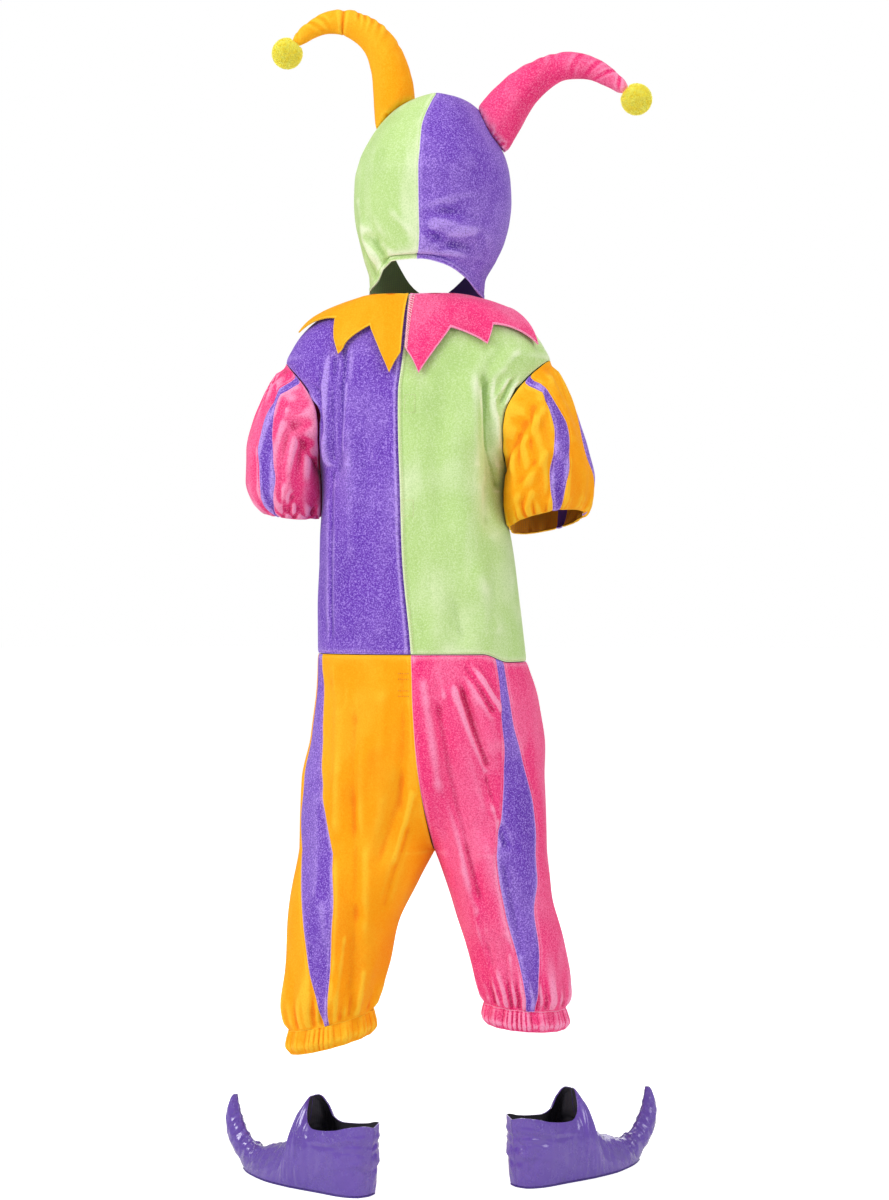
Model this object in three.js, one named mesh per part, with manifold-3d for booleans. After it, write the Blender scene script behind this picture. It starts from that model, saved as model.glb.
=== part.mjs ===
// Jester costume in velour: a jumpsuit with a jagged collar, puff sleeves and gored legs,
// a hood with two stuffed horns and pompoms, and a pair of shoe covers with curled toes.
// Millimetres, +Z up. The wearer faces +Y and the wearer's right is +X.
// The origin is the middle of the neck opening, at shoulder height.

import * as THREE from "three";
import { mergeVertices } from "three/addons/utils/BufferGeometryUtils.js";
import Module from "manifold-3d";

// Driving sizes
const VELOUR = 1.6;
const VINYL = 1.2;
const SEAM_GAP = 0.4;
const WAIST_GAP = 1.1;
const CUFF_GAP = 0.75;
const ARMHOLE_GAP = 1.2;
const SLEEVE_GAP = 0.9;
const LEG_GAP = 0.7;
const FLOOR = -1017;
const NECK = 0;
const SHOULDER = -72;
const ARMPIT = -195;
const WAIST = -406;
const CROTCH = -630;
const ARMHOLE_HALF_DEPTH = 58;
const NECK_FRONT_DROP = 30;
// The waist seam dips on the right side, where the sine of the angle passes these two values.
const WAIST_DROP = 9;
const WAIST_DROP_FROM = 0.62;
const WAIST_DROP_FULL = 0.86;
const WAIST_DROP_FADE = 60;
const BODY_POWER = 2.2;

const ORANGE = 0xfa9413;
const PINK = 0xee3f8e;
const GREEN = 0xabe27a;
const PURPLE = 0x5f3db0;
const YELLOW = 0xf0dc1e;

const RADIAN = Math.PI / 180;

// Small tools for tables and shapes

function table(columns, rows) {
  return rows.map((row) => Object.fromEntries(columns.map((name, i) => [name, row[i]])));
}

function mix(a, b, t) {
  return a + (b - a) * t;
}

function smooth(low, high, value) {
  const t = Math.min(1, Math.max(0, (value - low) / (high - low)));
  return t * t * (3 - 2 * t);
}

// Reads one column of a table at any place along its first column, without overshoot.
function readAt(rows, column, at) {
  const key = Object.keys(rows[0])[0];
  const last = rows.length - 1;
  if (at <= rows[0][key]) return rows[0][column];
  if (at >= rows[last][key]) return rows[last][column];
  let i = 0;
  while (rows[i + 1][key] < at) i += 1;
  const slope = (n) => {
    if (n < 0 || n >= last) return null;
    return (rows[n + 1][column] - rows[n][column]) / (rows[n + 1][key] - rows[n][key]);
  };
  const tangent = (before, after) => {
    if (before === null) return after;
    if (after === null) return before;
    if (before * after <= 0) return 0;
    return (2 * before * after) / (before + after);
  };
  const step = rows[i + 1][key] - rows[i][key];
  const t = (at - rows[i][key]) / step;
  const start = tangent(slope(i - 1), slope(i)) * step;
  const end = tangent(slope(i), slope(i + 1)) * step;
  const a = rows[i][column];
  const b = rows[i + 1][column];
  return (
    a * (2 * t ** 3 - 3 * t ** 2 + 1) +
    start * (t ** 3 - 2 * t ** 2 + t) +
    b * (3 * t ** 2 - 2 * t ** 3) +
    end * (t ** 3 - t ** 2)
  );
}

// Around every tube, angle 0 is the back, 90 degrees is +X and 180 degrees is the front.
function ovalPoint(middleX, middleY, halfWidth, halfDepth, power, angle, z) {
  const s = Math.sin(angle);
  const c = Math.cos(angle);
  const x = middleX + halfWidth * Math.sign(s) * Math.abs(s) ** (2 / power);
  const y = middleY - halfDepth * Math.sign(c) * Math.abs(c) ** (2 / power);
  return new THREE.Vector3(x, y, z);
}

// Creases run on the back (face -1) or front (face 1) from x0, z0 to x1, z1.
const CREASE_COLUMNS = ["face", "x0", "z0", "x1", "z1", "width", "height"];

function creaseHeight(creases, p) {
  let total = 0;
  for (const c of creases) {
    const dx = c.x1 - c.x0;
    const dz = c.z1 - c.z0;
    const length = Math.hypot(dx, dz);
    const along = ((p.x - c.x0) * dx + (p.z - c.z0) * dz) / length;
    const across = ((p.x - c.x0) * dz - (p.z - c.z0) * dx) / length;
    const end = c.width * 1.5;
    const fade = smooth(-end, end, along) * (1 - smooth(length - end, length + end, along));
    const side = smooth(0, 25, p.y * c.face);
    total += c.height * fade * side * Math.exp(-((across / c.width) ** 2));
  }
  return total * smooth(0, 30, Math.abs(p.z - WAIST));
}

function pushOut(p, middleX, middleY, distance) {
  const away = new THREE.Vector3(p.x - middleX, p.y - middleY, 0).normalize();
  return p.addScaledVector(away, distance);
}

// Walls of cloth

const costume = new THREE.Group();

function material(colour, roughness = 0.85) {
  return new THREE.MeshStandardMaterial({ color: colour, roughness, metalness: 0 });
}

function addMesh(name, geometry, colour, roughness, parent = costume) {
  const mesh = new THREE.Mesh(geometry, material(colour, roughness));
  mesh.name = name;
  parent.add(mesh);
  return mesh;
}

function outwardNormal(surface, a, b, stepA, stepB) {
  const along = surface(a + stepA, b).sub(surface(a - stepA, b));
  const up = surface(a, b + stepB).sub(surface(a, b - stepB));
  return along.cross(up).normalize();
}

// A cloth panel: a grid of points on surface(a, b), where spot(u, v) gives a and b, with a
// second grid one wall inside it. Its edges stop half a seam gap short, and keep(p, v) may
// hold a point on its own side of a seam.
function clothWall({
  surface, spot, columns, rows, thickness,
  closed = false, turn = 1, step = 1e-3, rise = 0.05, gap = SEAM_GAP, keep = (p) => p,
}) {
  const outer = [];
  const inward = [];
  for (let j = 0; j < rows.length; j += 1) {
    outer.push([]);
    inward.push([]);
    for (let i = 0; i < columns.length; i += 1) {
      const [a, b] = spot(columns[i], rows[j]);
      outer[j].push(surface(a, b));
      inward[j].push(outwardNormal(surface, a, b, step, rise).multiplyScalar(-thickness * turn));
    }
  }
  const wide = columns.length;
  const high = rows.length;
  const half = gap / 2;
  const draw = (p, q) => p.add(q.clone().sub(p).setLength(half));
  for (let i = 0; i < wide; i += 1) {
    draw(outer[0][i], outer[1][i]);
    draw(outer[high - 1][i], outer[high - 2][i]);
  }
  if (!closed) {
    for (let j = 0; j < high; j += 1) {
      draw(outer[j][0], outer[j][1]);
      draw(outer[j][wide - 1], outer[j][wide - 2]);
    }
  }
  const positions = [];
  for (const layer of [0, 1]) {
    for (let j = 0; j < high; j += 1) {
      for (let i = 0; i < wide; i += 1) {
        const p = keep(outer[j][i].clone().addScaledVector(inward[j][i], layer), rows[j]);
        positions.push(p.x, p.y, p.z);
      }
    }
  }
  const at = (layer, j, i) => (layer * high + j) * wide + (i % wide);
  const faces = [];
  const quad = (p, q, r, s) => {
    if (turn > 0) faces.push(p, q, r, p, r, s);
    else faces.push(p, r, q, p, s, r);
  };
  const spans = closed ? wide : wide - 1;
  for (let i = 0; i < spans; i += 1) {
    for (let j = 0; j < high - 1; j += 1) {
      quad(at(0, j, i), at(0, j, i + 1), at(0, j + 1, i + 1), at(0, j + 1, i));
      quad(at(1, j, i), at(1, j + 1, i), at(1, j + 1, i + 1), at(1, j, i + 1));
    }
    quad(at(1, 0, i), at(1, 0, i + 1), at(0, 0, i + 1), at(0, 0, i));
    const top = high - 1;
    quad(at(0, top, i), at(0, top, i + 1), at(1, top, i + 1), at(1, top, i));
  }
  if (!closed) {
    for (let j = 0; j < high - 1; j += 1) {
      quad(at(1, j, 0), at(0, j, 0), at(0, j + 1, 0), at(1, j + 1, 0));
      const end = wide - 1;
      quad(at(0, j, end), at(1, j, end), at(1, j + 1, end), at(0, j + 1, end));
    }
  }
  const geometry = new THREE.BufferGeometry();
  geometry.setAttribute("position", new THREE.Float32BufferAttribute(positions, 3));
  geometry.setIndex(faces);
  geometry.computeVertexNormals();
  return geometry;
}

function evenly(count) {
  return Array.from({ length: count + 1 }, (_, i) => i / count);
}

// Bodice: two backs and two fronts, purple on the left side and green on the right

const BODICE = table(["z", "middle", "halfWidth", "halfDepth"], [
  [-406, 13, 120, 88],
  [-345, 9, 116, 88],
  [-276, 5, 110, 90],
  [-230, 3, 105, 91],
  [-195, 4, 108, 90],
  [-150, 6, 130, 87],
  [-100, 8, 149, 81],
  [-72, 8, 152, 76],
  [-58, 8, 146, 72],
  [-40, 8, 134, 67],
  [-20, 8, 111, 61],
  [-8, 8, 87, 56],
  [0, 8, 62, 52],
]);

const BACK_SEAM = table(["z", "x"], [
  [-630, 29],
  [-598, 24],
  [-529, 17],
  [-460, 12.5],
  [-406, 10.5],
  [-299, 1],
  [-230, -1],
  [-115, -4.5],
  [-80, -1],
  [-40, 2.5],
  [0, 3.5],
]);

const BODICE_CREASES = table(CREASE_COLUMNS, [
  [-1, -70, -60, -76, -205, 8, -5],
  [-1, -85, -95, -88, -190, 8, 4],
  [-1, -98, -110, -90, -160, 6, -3],
  [-1, -50, -380, -58, -406, 9, -2.5],
  [-1, -22, -330, -30, -406, 12, 2],
  [-1, 92, -95, 96, -265, 8, -6],
  [-1, 80, -90, 82, -230, 10, 3.5],
  [-1, 110, -96, 106, -135, 6, -3],
  [-1, 60, -350, 72, -410, 10, -2.5],
  [-1, 38, -340, 40, -406, 12, 2],
  [1, -72, -85, -76, -220, 9, -5],
  [1, 88, -90, 92, -250, 9, -5],
  [1, -40, -340, -45, -406, 12, -2.5],
  [1, 45, -350, 52, -410, 12, -2.5],
]);

function waistShift(angle, z) {
  const reach = smooth(WAIST_DROP_FROM, WAIST_DROP_FULL, Math.sin(angle));
  return -WAIST_DROP * reach * (1 - smooth(0, WAIST_DROP_FADE, Math.abs(z - WAIST)));
}

function bodicePoint(angle, z) {
  const front = Math.max(0, -Math.cos(angle));
  const drop = NECK_FRONT_DROP * front ** 1.5 * smooth(-75, 0, z);
  const middle = readAt(BODICE, "middle", z);
  const halfWidth = readAt(BODICE, "halfWidth", z);
  const halfDepth = readAt(BODICE, "halfDepth", z);
  const level = z - drop + waistShift(angle, z);
  const p = ovalPoint(middle, 0, halfWidth, halfDepth, BODY_POWER, angle, level);
  return pushOut(p, middle, 0, creaseHeight(BODICE_CREASES, p));
}

function seamAngle(rows, z) {
  const across = readAt(BACK_SEAM, "x", z) - readAt(rows, "middle", z);
  const offset = across / readAt(rows, "halfWidth", z);
  return Math.sign(offset) * Math.asin(Math.abs(offset) ** (BODY_POWER / 2));
}

// The armhole is an oval seen from the side, so its edge runs on the bodice at a depth.
function armholeAngle(z) {
  const middle = (SHOULDER + ARMPIT) / 2;
  const half = (SHOULDER - ARMPIT) / 2;
  const rise = (z - middle) / half;
  if (Math.abs(rise) >= 1) return 90 * RADIAN;
  const depth = ARMHOLE_HALF_DEPTH * Math.sqrt(1 - rise * rise);
  return Math.acos((depth / readAt(BODICE, "halfDepth", z)) ** (BODY_POWER / 2));
}

const ARMHOLE_ROWS = evenly(8).map((t) => {
  return (SHOULDER + ARMPIT) / 2 - ((SHOULDER - ARMPIT) / 2) * Math.cos(t * Math.PI);
});
const BELOW_ARMHOLE = [WAIST + WAIST_GAP, -372, -335, -295, -255, -222];
const BODICE_ROWS = [...BELOW_ARMHOLE, ...ARMHOLE_ROWS, -56, -38, -20, -8, NECK];

// The right back laps over the left back, whose edge runs on below it.
const LAP = 14;
const LAP_DROP = 2.2;
const LAP_COLUMN = 0.06;

function backLeftPoint(angle, z) {
  const edge = seamAngle(BODICE, z);
  const wide = readAt(BODICE, "halfWidth", z);
  const past = (angle - edge) * wide;
  const p = bodicePoint(angle, z);
  return pushOut(p, readAt(BODICE, "middle", z), 0, -LAP_DROP * smooth(-4, -0.5, past));
}

addMesh("back_left", clothWall({
  surface: backLeftPoint,
  spot: (u, z) => {
    const edge = seamAngle(BODICE, z);
    const side = -armholeAngle(z);
    if (u > 1) return [edge + ((u - 1) * LAP) / readAt(BODICE, "halfWidth", z), z];
    return [mix(side, edge, u), z];
  },
  columns: [...evenly(8).slice(0, -1), 1 - LAP_COLUMN, 1, 2],
  rows: BODICE_ROWS,
  thickness: VELOUR,
}), PURPLE);

addMesh("back_right", clothWall({
  surface: bodicePoint,
  spot: (u, z) => [mix(seamAngle(BODICE, z), armholeAngle(z), u), z],
  columns: evenly(9),
  rows: BODICE_ROWS,
  thickness: VELOUR,
}), GREEN);

for (const [name, side, colour] of [["front_left", -1, PURPLE], ["front_right", 1, GREEN]]) {
  addMesh(name, clothWall({
    surface: bodicePoint,
    spot: (u, z) => {
      const edge = 180 * RADIAN - armholeAngle(z);
      return side > 0 ? [mix(edge, 180 * RADIAN, u), z] : [mix(-180 * RADIAN, -edge, u), z];
    },
    columns: evenly(6),
    rows: BODICE_ROWS,
    thickness: VELOUR,
  }), colour);
}

// Collar: five points on each half, orange on the left and pink on the right

const COLLAR_LIFT = 3.2;
const COLLAR_FLARE = 3;

const COLLAR_RIGHT = table(["angle", "reach"], [
  [-1.4, 68],
  [3.2, 98],
  [17.2, 51],
  [33.2, 82],
  [41, 63],
  [67.5, 102],
  [90, 45],
  [112, 88],
  [134, 42],
  [157, 92],
  [180, 44],
]);

const COLLAR_LEFT = table(["angle", "reach"], [
  [2.8, 74],
  [7, 98],
  [17.8, 48],
  [31.8, 90],
  [43, 52],
  [74, 84],
  [95, 44],
  [115, 86],
  [137, 42],
  [158, 92],
  [180, 44],
]);

// The reach of the collar at an angle, with a straight edge from each corner to the next.
const NECK_RADIUS = 60;

function pointReach(reaches, degrees) {
  let i = 0;
  while (i < reaches.length - 2 && reaches[i + 1].angle < degrees) i += 1;
  const from = reaches[i];
  const to = reaches[i + 1];
  const whole = Math.sin((to.angle - from.angle) * RADIAN);
  const toEnd = Math.sin((to.angle - degrees) * RADIAN) / whole;
  const toStart = Math.sin((degrees - from.angle) * RADIAN) / whole;
  return 1 / (toEnd / (NECK_RADIUS + from.reach) + toStart / (NECK_RADIUS + to.reach)) - NECK_RADIUS;
}

// The height at which a line down the bodice from the neck reaches a given length.
function heightAtReach(angle, reach) {
  let z = NECK;
  let done = 0;
  let before = bodicePoint(angle, z);
  while (done < reach) {
    z -= 0.5;
    const next = bodicePoint(angle, z);
    done += next.distanceTo(before);
    before = next;
  }
  return z;
}

function collarPoint(side, reaches) {
  return (around, t) => {
    const angle = around * side;
    const reach = pointReach(reaches, around / RADIAN);
    const z = heightAtReach(angle, Math.max(0, 1 - t) * reach);
    const lift = COLLAR_LIFT + COLLAR_FLARE * (1 - t) ** 2;
    const normal = outwardNormal(bodicePoint, angle, z, 1e-3, 0.5);
    return bodicePoint(angle, z).addScaledVector(normal, lift);
  };
}

function collarColumns(reaches, between) {
  const list = [];
  for (let i = 0; i < reaches.length - 1; i += 1) {
    for (let k = 0; k < between; k += 1) {
      list.push(mix(reaches[i].angle, reaches[i + 1].angle, k / between));
    }
  }
  list.push(reaches[reaches.length - 1].angle);
  return list;
}

const COLLARS = [
  ["collar_left", -1, COLLAR_LEFT, ORANGE],
  ["collar_right", 1, COLLAR_RIGHT, PINK],
];

for (const [name, side, reaches, colour] of COLLARS) {
  addMesh(name, clothWall({
    surface: collarPoint(side, reaches),
    spot: (degrees, t) => [degrees * RADIAN, t],
    columns: collarColumns(reaches, 3),
    rows: evenly(4),
    thickness: VELOUR,
    turn: side,
    rise: 0.02,
  }), colour);
}

// Sleeves: puffed tubes of four panels and three leaf-shaped purple strips each.
// Rows run from the hem (0) to the armhole (1); each row is a tilted oval.

const SLEEVE_COLUMNS = ["row", "outX", "outZ", "inX", "inZ", "midY", "halfDepth", "backZ", "gather"];

const SLEEVE_LEFT = table(SLEEVE_COLUMNS, [
  [0.00, 163, -246, 98, -250, -6, 36, -5, 1.0],
  [0.06, 169, -242, 98, -246, -6, 42, -5, 2.4],
  [0.16, 181, -231, 98, -241, -5, 52, -5, 2.2],
  [0.32, 190, -207, 98, -233, -5, 63, -4, 1.4],
  [0.50, 190, -174, 98, -222, -4, 69, -3, 0.9],
  [0.68, 181, -138, 99, -213, -3, 71, -2, 1.4],
  [0.84, 166, -106, 102, -205, -2, 70, 0, 2.2],
  [0.94, 153, -85, 104, -199, -1, 65, 0, 1.4],
  [1.00, 144, -72, 104, -195, 0, 58, 0, 0],
]);

const SLEEVE_RIGHT = table(SLEEVE_COLUMNS, [
  [0.00, 200, -247, 113, -266, -8, 40, 9, 1.0],
  [0.06, 204, -242, 111, -262, -8, 46, 8, 2.4],
  [0.16, 209, -230, 109, -252, -7, 55, 6, 2.2],
  [0.32, 211, -207, 107, -238, -6, 64, 4, 1.4],
  [0.50, 205, -176, 107, -226, -5, 69, 2, 0.9],
  [0.68, 193, -141, 108, -216, -3, 71, 0, 1.4],
  [0.84, 179, -108, 110, -207, -2, 70, 0, 2.2],
  [0.94, 168, -85, 112, -200, -1, 65, 0, 1.4],
  [1.00, 160, -72, 112, -195, 0, 58, 0, 0],
]);

// Each strip is a leaf: its middle angle and its half width, in degrees, from hem to armhole.
const STRIP_COLUMNS = ["row", "angle", "half"];

const STRIP_LEFT_BACK = table(STRIP_COLUMNS, [
  [0, 36, 7],
  [0.06, 34, 8.5],
  [0.16, 26, 9.5],
  [0.3, 15.5, 10.6],
  [0.45, 14, 13],
  [0.6, 19, 12.3],
  [0.73, 26.5, 9.4],
  [0.85, 32, 6.5],
  [0.93, 38, 5],
  [1, 44, 4],
]);

const STRIP_LEFT_OUTER = table(STRIP_COLUMNS, [
  [0, 92, 5],
  [0.5, 103, 10],
  [1, 100, 4],
]);

const STRIP_RIGHT_BACK = table(STRIP_COLUMNS, [
  [0, 17.5, 5.5],
  [0.16, 16, 7.2],
  [0.3, 16.5, 9.4],
  [0.45, 22, 12.3],
  [0.6, 32.5, 12.3],
  [0.73, 39, 9.5],
  [0.85, 38.5, 6.5],
  [0.93, 37.5, 5],
  [1, 40, 3.6],
]);

const STRIP_RIGHT_OUTER = table(STRIP_COLUMNS, [
  [0, 100, 5],
  [0.3, 92, 9],
  [0.5, 83, 12],
  [0.7, 92, 9],
  [1, 98, 4],
]);

// The front strip lies as the back one does, on the other side of the outer strip.
function inFront(strip) {
  return strip.map((point) => ({ ...point, angle: 180 - point.angle }));
}

const STRIPS_LEFT = [STRIP_LEFT_BACK, STRIP_LEFT_OUTER, inFront(STRIP_LEFT_BACK)];
const STRIPS_RIGHT = [STRIP_RIGHT_BACK, STRIP_RIGHT_OUTER, inFront(STRIP_RIGHT_BACK)];

const SLEEVE_GATHERS = 14;
const SLEEVE_CLEAR = 2;

// The point on the bodice beside a given depth and height, on one side.
function bodiceSide(side, y, z) {
  const halfDepth = readAt(BODICE, "halfDepth", z);
  const across = Math.max(0, 1 - (Math.abs(y) / halfDepth) ** BODY_POWER) ** (1 / BODY_POWER);
  return readAt(BODICE, "middle", z) + side * readAt(BODICE, "halfWidth", z) * across;
}

function sleevePoint(side, rings) {
  return (around, row) => {
    const s = Math.sin(around);
    const c = Math.cos(around);
    const read = (column) => readAt(rings, column, row);
    const middleX = (read("outX") + read("inX")) / 2;
    const middleZ = (read("outZ") + read("inZ")) / 2;
    const wobble = SLEEVE_GATHERS * around + 0.9 * Math.sin(2 * around);
    const wave = read("gather") * Math.sin(wobble) * (0.75 + 0.25 * Math.sin(3 * around + row * 4));
    const halfWidth = (read("outX") - read("inX")) / 2 + wave;
    const halfHeight = (read("outZ") - read("inZ")) / 2 + wave * smooth(0.4, 0.9, row);
    const y = read("midY") - (read("halfDepth") + wave) * c;
    const z = middleZ + halfHeight * s + read("backZ") * c;
    const free = side * (middleX + halfWidth * s);
    const gap = mix(SLEEVE_CLEAR, ARMHOLE_GAP, smooth(0.9, 1, row));
    const wall = bodiceSide(side, y, Math.min(z, SHOULDER)) + side * gap;
    const onHole = smooth(0.93, 1, row);
    const x = side * Math.max(side * mix(free, wall, onHole), side * wall);
    return new THREE.Vector3(x, y, z);
  };
}

// The sleeve's pieces in order around it, each with its edges as angles at a row.
function sleeveRanges(strips) {
  const [back, outer, front] = strips;
  const edge = (strip, sign) => (row) => {
    return readAt(strip, "angle", row) + sign * readAt(strip, "half", row);
  };
  return [
    ["back_inner", () => -90, edge(back, -1), 6, false],
    ["back_strip", edge(back, -1), edge(back, 1), 2, true],
    ["back_outer", edge(back, 1), edge(outer, -1), 6, false],
    ["outer_strip", edge(outer, -1), edge(outer, 1), 2, true],
    ["front_outer", edge(outer, 1), edge(front, -1), 6, false],
    ["front_strip", edge(front, -1), edge(front, 1), 2, true],
    ["front_inner", edge(front, 1), () => 270, 7, false],
  ];
}

function addSleeve(word, side, rings, strips, colour) {
  for (const [piece, from, to, spans, isStrip] of sleeveRanges(strips)) {
    addMesh(`sleeve_${word}_${piece}`, clothWall({
      surface: sleevePoint(side, rings),
      spot: (u, row) => [mix(from(row), to(row), u) * RADIAN, row],
      columns: evenly(spans),
      rows: rings.map((ring) => ring.row),
      thickness: VELOUR,
      turn: side,
      rise: 0.03,
      gap: SLEEVE_GAP,
    }), isStrip ? PURPLE : colour);
  }
}

addSleeve("left", -1, SLEEVE_LEFT, STRIPS_LEFT, PINK);
addSleeve("right", 1, SLEEVE_RIGHT, STRIPS_RIGHT, ORANGE);

// Trousers: each leg is a back, a front and a tapering purple gore over an elastic cuff

const HIPS = table(["z", "middle", "halfWidth", "halfDepth"], [
  [-630, 14.5, 142.5, 80],
  [-590, 14, 141, 87],
  [-552, 14, 140, 90],
  [-500, 19, 134, 92],
  [-460, 18.5, 128.5, 92],
  [-437, 17, 125, 90],
  [-406, 13, 120, 88],
]);

const LEG_COLUMNS = ["z", "middleX", "middleY", "halfWidth", "halfDepth"];

const LEG_LEFT = table(LEG_COLUMNS, [
  [-850, -88, -30, 46, 47],
  [-840, -88, -30, 52, 53],
  [-823, -88, -30, 49, 50],
  [-812, -88.5, -29, 52.5, 54],
  [-795, -87.5, -28, 57, 59],
  [-759, -81, -23, 60, 63],
  [-713, -76, -18, 64, 67],
  [-667, -63, -12, 73, 75],
  [-630, -49.5, -8, 78.5, 80],
]);

const LEG_RIGHT = table(LEG_COLUMNS, [
  [-832, 132, 6, 45, 46],
  [-824, 131.5, 6, 50, 51],
  [-808, 131, 5, 47, 48],
  [-797, 131, 5, 51, 52],
  [-782, 129, 4, 53.5, 56],
  [-736, 119, 2, 56.5, 61],
  [-690, 106, 0, 58, 65],
  [-660, 100, -3, 61, 70],
  [-630, 93, -6, 64, 76],
]);

const GORE_LEFT = table(["z", "back", "front"], [
  [-823, 0.232, 0.25],
  [-794, 0.238, 0.274],
  [-760, 0.247, 0.314],
  [-727, 0.252, 0.34],
  [-695, 0.26, 0.365],
  [-663, 0.276, 0.395],
  [-631, 0.289, 0.428],
  [-599, 0.293, 0.44],
  [-553, 0.298, 0.41],
  [-480, 0.33, 0.415],
  [-406, 0.369, 0.435],
]);

const GORE_RIGHT = table(["z", "back", "front"], [
  [-808, 0.266, 0.3],
  [-778, 0.267, 0.318],
  [-740, 0.267, 0.344],
  [-695, 0.267, 0.364],
  [-655, 0.255, 0.396],
  [-612, 0.245, 0.396],
  [-580, 0.246, 0.38],
  [-551, 0.243, 0.348],
  [-515, 0.239, 0.306],
  [-482, 0.242, 0.288],
  [-449, 0.252, 0.285],
  [-406, 0.266, 0.302],
]);

const LEG_CREASES = table(CREASE_COLUMNS, [
  [-1, 78, -425, 108, -520, 11, 4],
  [-1, 55, -440, 92, -590, 12, 4],
  [-1, 66, -440, 98, -570, 7, -4],
  [-1, 90, -610, 118, -730, 10, 4],
  [-1, 72, -620, 102, -760, 8, -3],
  [-1, -88, -430, -92, -560, 10, -4],
  [-1, -30, -430, -50, -600, 16, 3],
  [-1, -60, -560, -52, -700, 10, -4],
  [-1, 0, -540, -28, -640, 9, -4],
  [-1, 40, -560, 60, -640, 9, -4],
  [-1, -90, -680, -78, -800, 9, 4],
  [-1, -50, -690, -62, -800, 8, -4],
  [1, 70, -430, 96, -580, 12, -4],
  [1, -60, -430, -82, -580, 12, -4],
  [1, 95, -620, 120, -760, 11, 4],
  [1, -60, -620, -80, -770, 11, 4],
]);

const RISE_TOP = -500;
const THIGH_LOW = -730;
const THIGH_HIGH = -500;
const LEG_GATHERS = 9;
const LEG_GATHER_HEIGHT = 2.6;
const LEG_GATHER_LENGTH = 110;
const CUFF_GATHERS = 14;
const CUFF_GATHER_HEIGHT = 1.5;

const LEGS = {
  left: {
    side: -1, rings: LEG_LEFT, gore: GORE_LEFT, bottom: -823, cuff: -850, tilt: 12, colour: ORANGE,
  },
  right: {
    side: 1, rings: LEG_RIGHT, gore: GORE_RIGHT, bottom: -808, cuff: -832, tilt: 3, colour: PINK,
  },
};

// Around a leg, u runs from the inseam (0) by the back and the outer side to the inseam (1).
// Above the crotch the leg opens out into half of the hips, along the rise seam.
function legPoint({ side, rings, bottom, tilt }) {
  return (u, z) => {
    const back = seamAngle(HIPS, z);
    const hipAngle = side > 0 ? mix(back, Math.PI, u) : mix(back, -Math.PI, u);
    const fade = smooth(0, 1, (z - RISE_TOP) / 60);
    const hip = ovalPoint(
      readAt(HIPS, "middle", z), 0, readAt(HIPS, "halfWidth", z), readAt(HIPS, "halfDepth", z),
      BODY_POWER, hipAngle, z + waistShift(hipAngle, z) * fade,
    );
    const turn = side * (u * 360 - 90) * RADIAN;
    const read = (column) => readAt(rings, column, z);
    const wobble = LEG_GATHERS * turn + 0.8 * Math.sin(2 * turn);
    const fromCuff = smooth(bottom + LEG_GATHER_LENGTH, bottom + 12, z);
    const gathered = fromCuff * smooth(bottom - 2, bottom + 8, z);
    const wave = LEG_GATHER_HEIGHT * Math.sin(wobble) * gathered;
    const leg = ovalPoint(
      read("middleX"), read("middleY"), read("halfWidth") + wave, read("halfDepth") + wave, 2, turn, z,
    );
    leg.z -= tilt * Math.sin(turn) * side * smooth(-700, bottom, z);
    const down = Math.min(1, Math.max(0, (RISE_TOP - z) / (RISE_TOP - CROTCH)));
    const seamBlend = 1 - Math.sqrt(1 - down * down);
    const thighBlend = 1 - smooth(THIGH_LOW, THIGH_HIGH, z);
    const blend = mix(thighBlend, seamBlend, 1 - smooth(0.03, 0.2, Math.min(u, 1 - u)));
    const p = hip.lerp(leg, blend);
    pushOut(p, mix(readAt(HIPS, "middle", z), read("middleX"), blend), 0, creaseHeight(LEG_CREASES, p));
    if (z > CROTCH - 1) {
      const seamTop = u < 0.5 ? readAt(BACK_SEAM, "x", z) : readAt(HIPS, "middle", z);
      const seam = mix(seamTop, BACK_SEAM[0].x, seamBlend);
      p.x = side > 0 ? Math.max(p.x, seam) : Math.min(p.x, seam);
    }
    return p;
  };
}

const RISE_ROWS = [-626, -618, -604, -580, -545, -500, -455, WAIST];
const LEG_ROWS = [0, 0.09, 0.22, 0.42, 0.62, 0.82, 1];

for (const [word, leg] of Object.entries(LEGS)) {
  const surface = legPoint(leg);
  const rows = [...LEG_ROWS.map((t) => mix(leg.bottom, CROTCH, t)), ...RISE_ROWS];
  const gore = (column, z) => readAt(leg.gore, column, z);
  const panels = [
    ["back", (u, z) => mix(0, gore("back", z), u), 8, leg.colour],
    ["gore", (u, z) => mix(gore("back", z), gore("front", z), u), 3, PURPLE],
    ["front", (u, z) => mix(gore("front", z), 1, u), 10, leg.colour],
  ];
  for (const [piece, around, spans, colour] of panels) {
    addMesh(`leg_${word}_${piece}`, clothWall({
      surface,
      spot: (u, z) => [around(u, z), z],
      columns: evenly(spans),
      rows,
      thickness: VELOUR,
      turn: leg.side,
      step: 2e-3,
      gap: LEG_GAP,
    }), colour);
  }
}

function cuffPoint({ side, rings, bottom, cuff, tilt }) {
  return (u, z) => {
    const turn = side * u * 2 * Math.PI;
    const read = (column) => readAt(rings, column, z);
    const wobble = CUFF_GATHERS * turn + Math.sin(2 * turn);
    const wave = CUFF_GATHER_HEIGHT * Math.sin(wobble) * smooth(cuff - 6, cuff + 8, z);
    const p = ovalPoint(read("middleX"), read("middleY"), read("halfWidth") + wave,
      read("halfDepth") + wave, 2, turn, z);
    p.z -= tilt * Math.sin(turn) * side;
    return p;
  };
}

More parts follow.
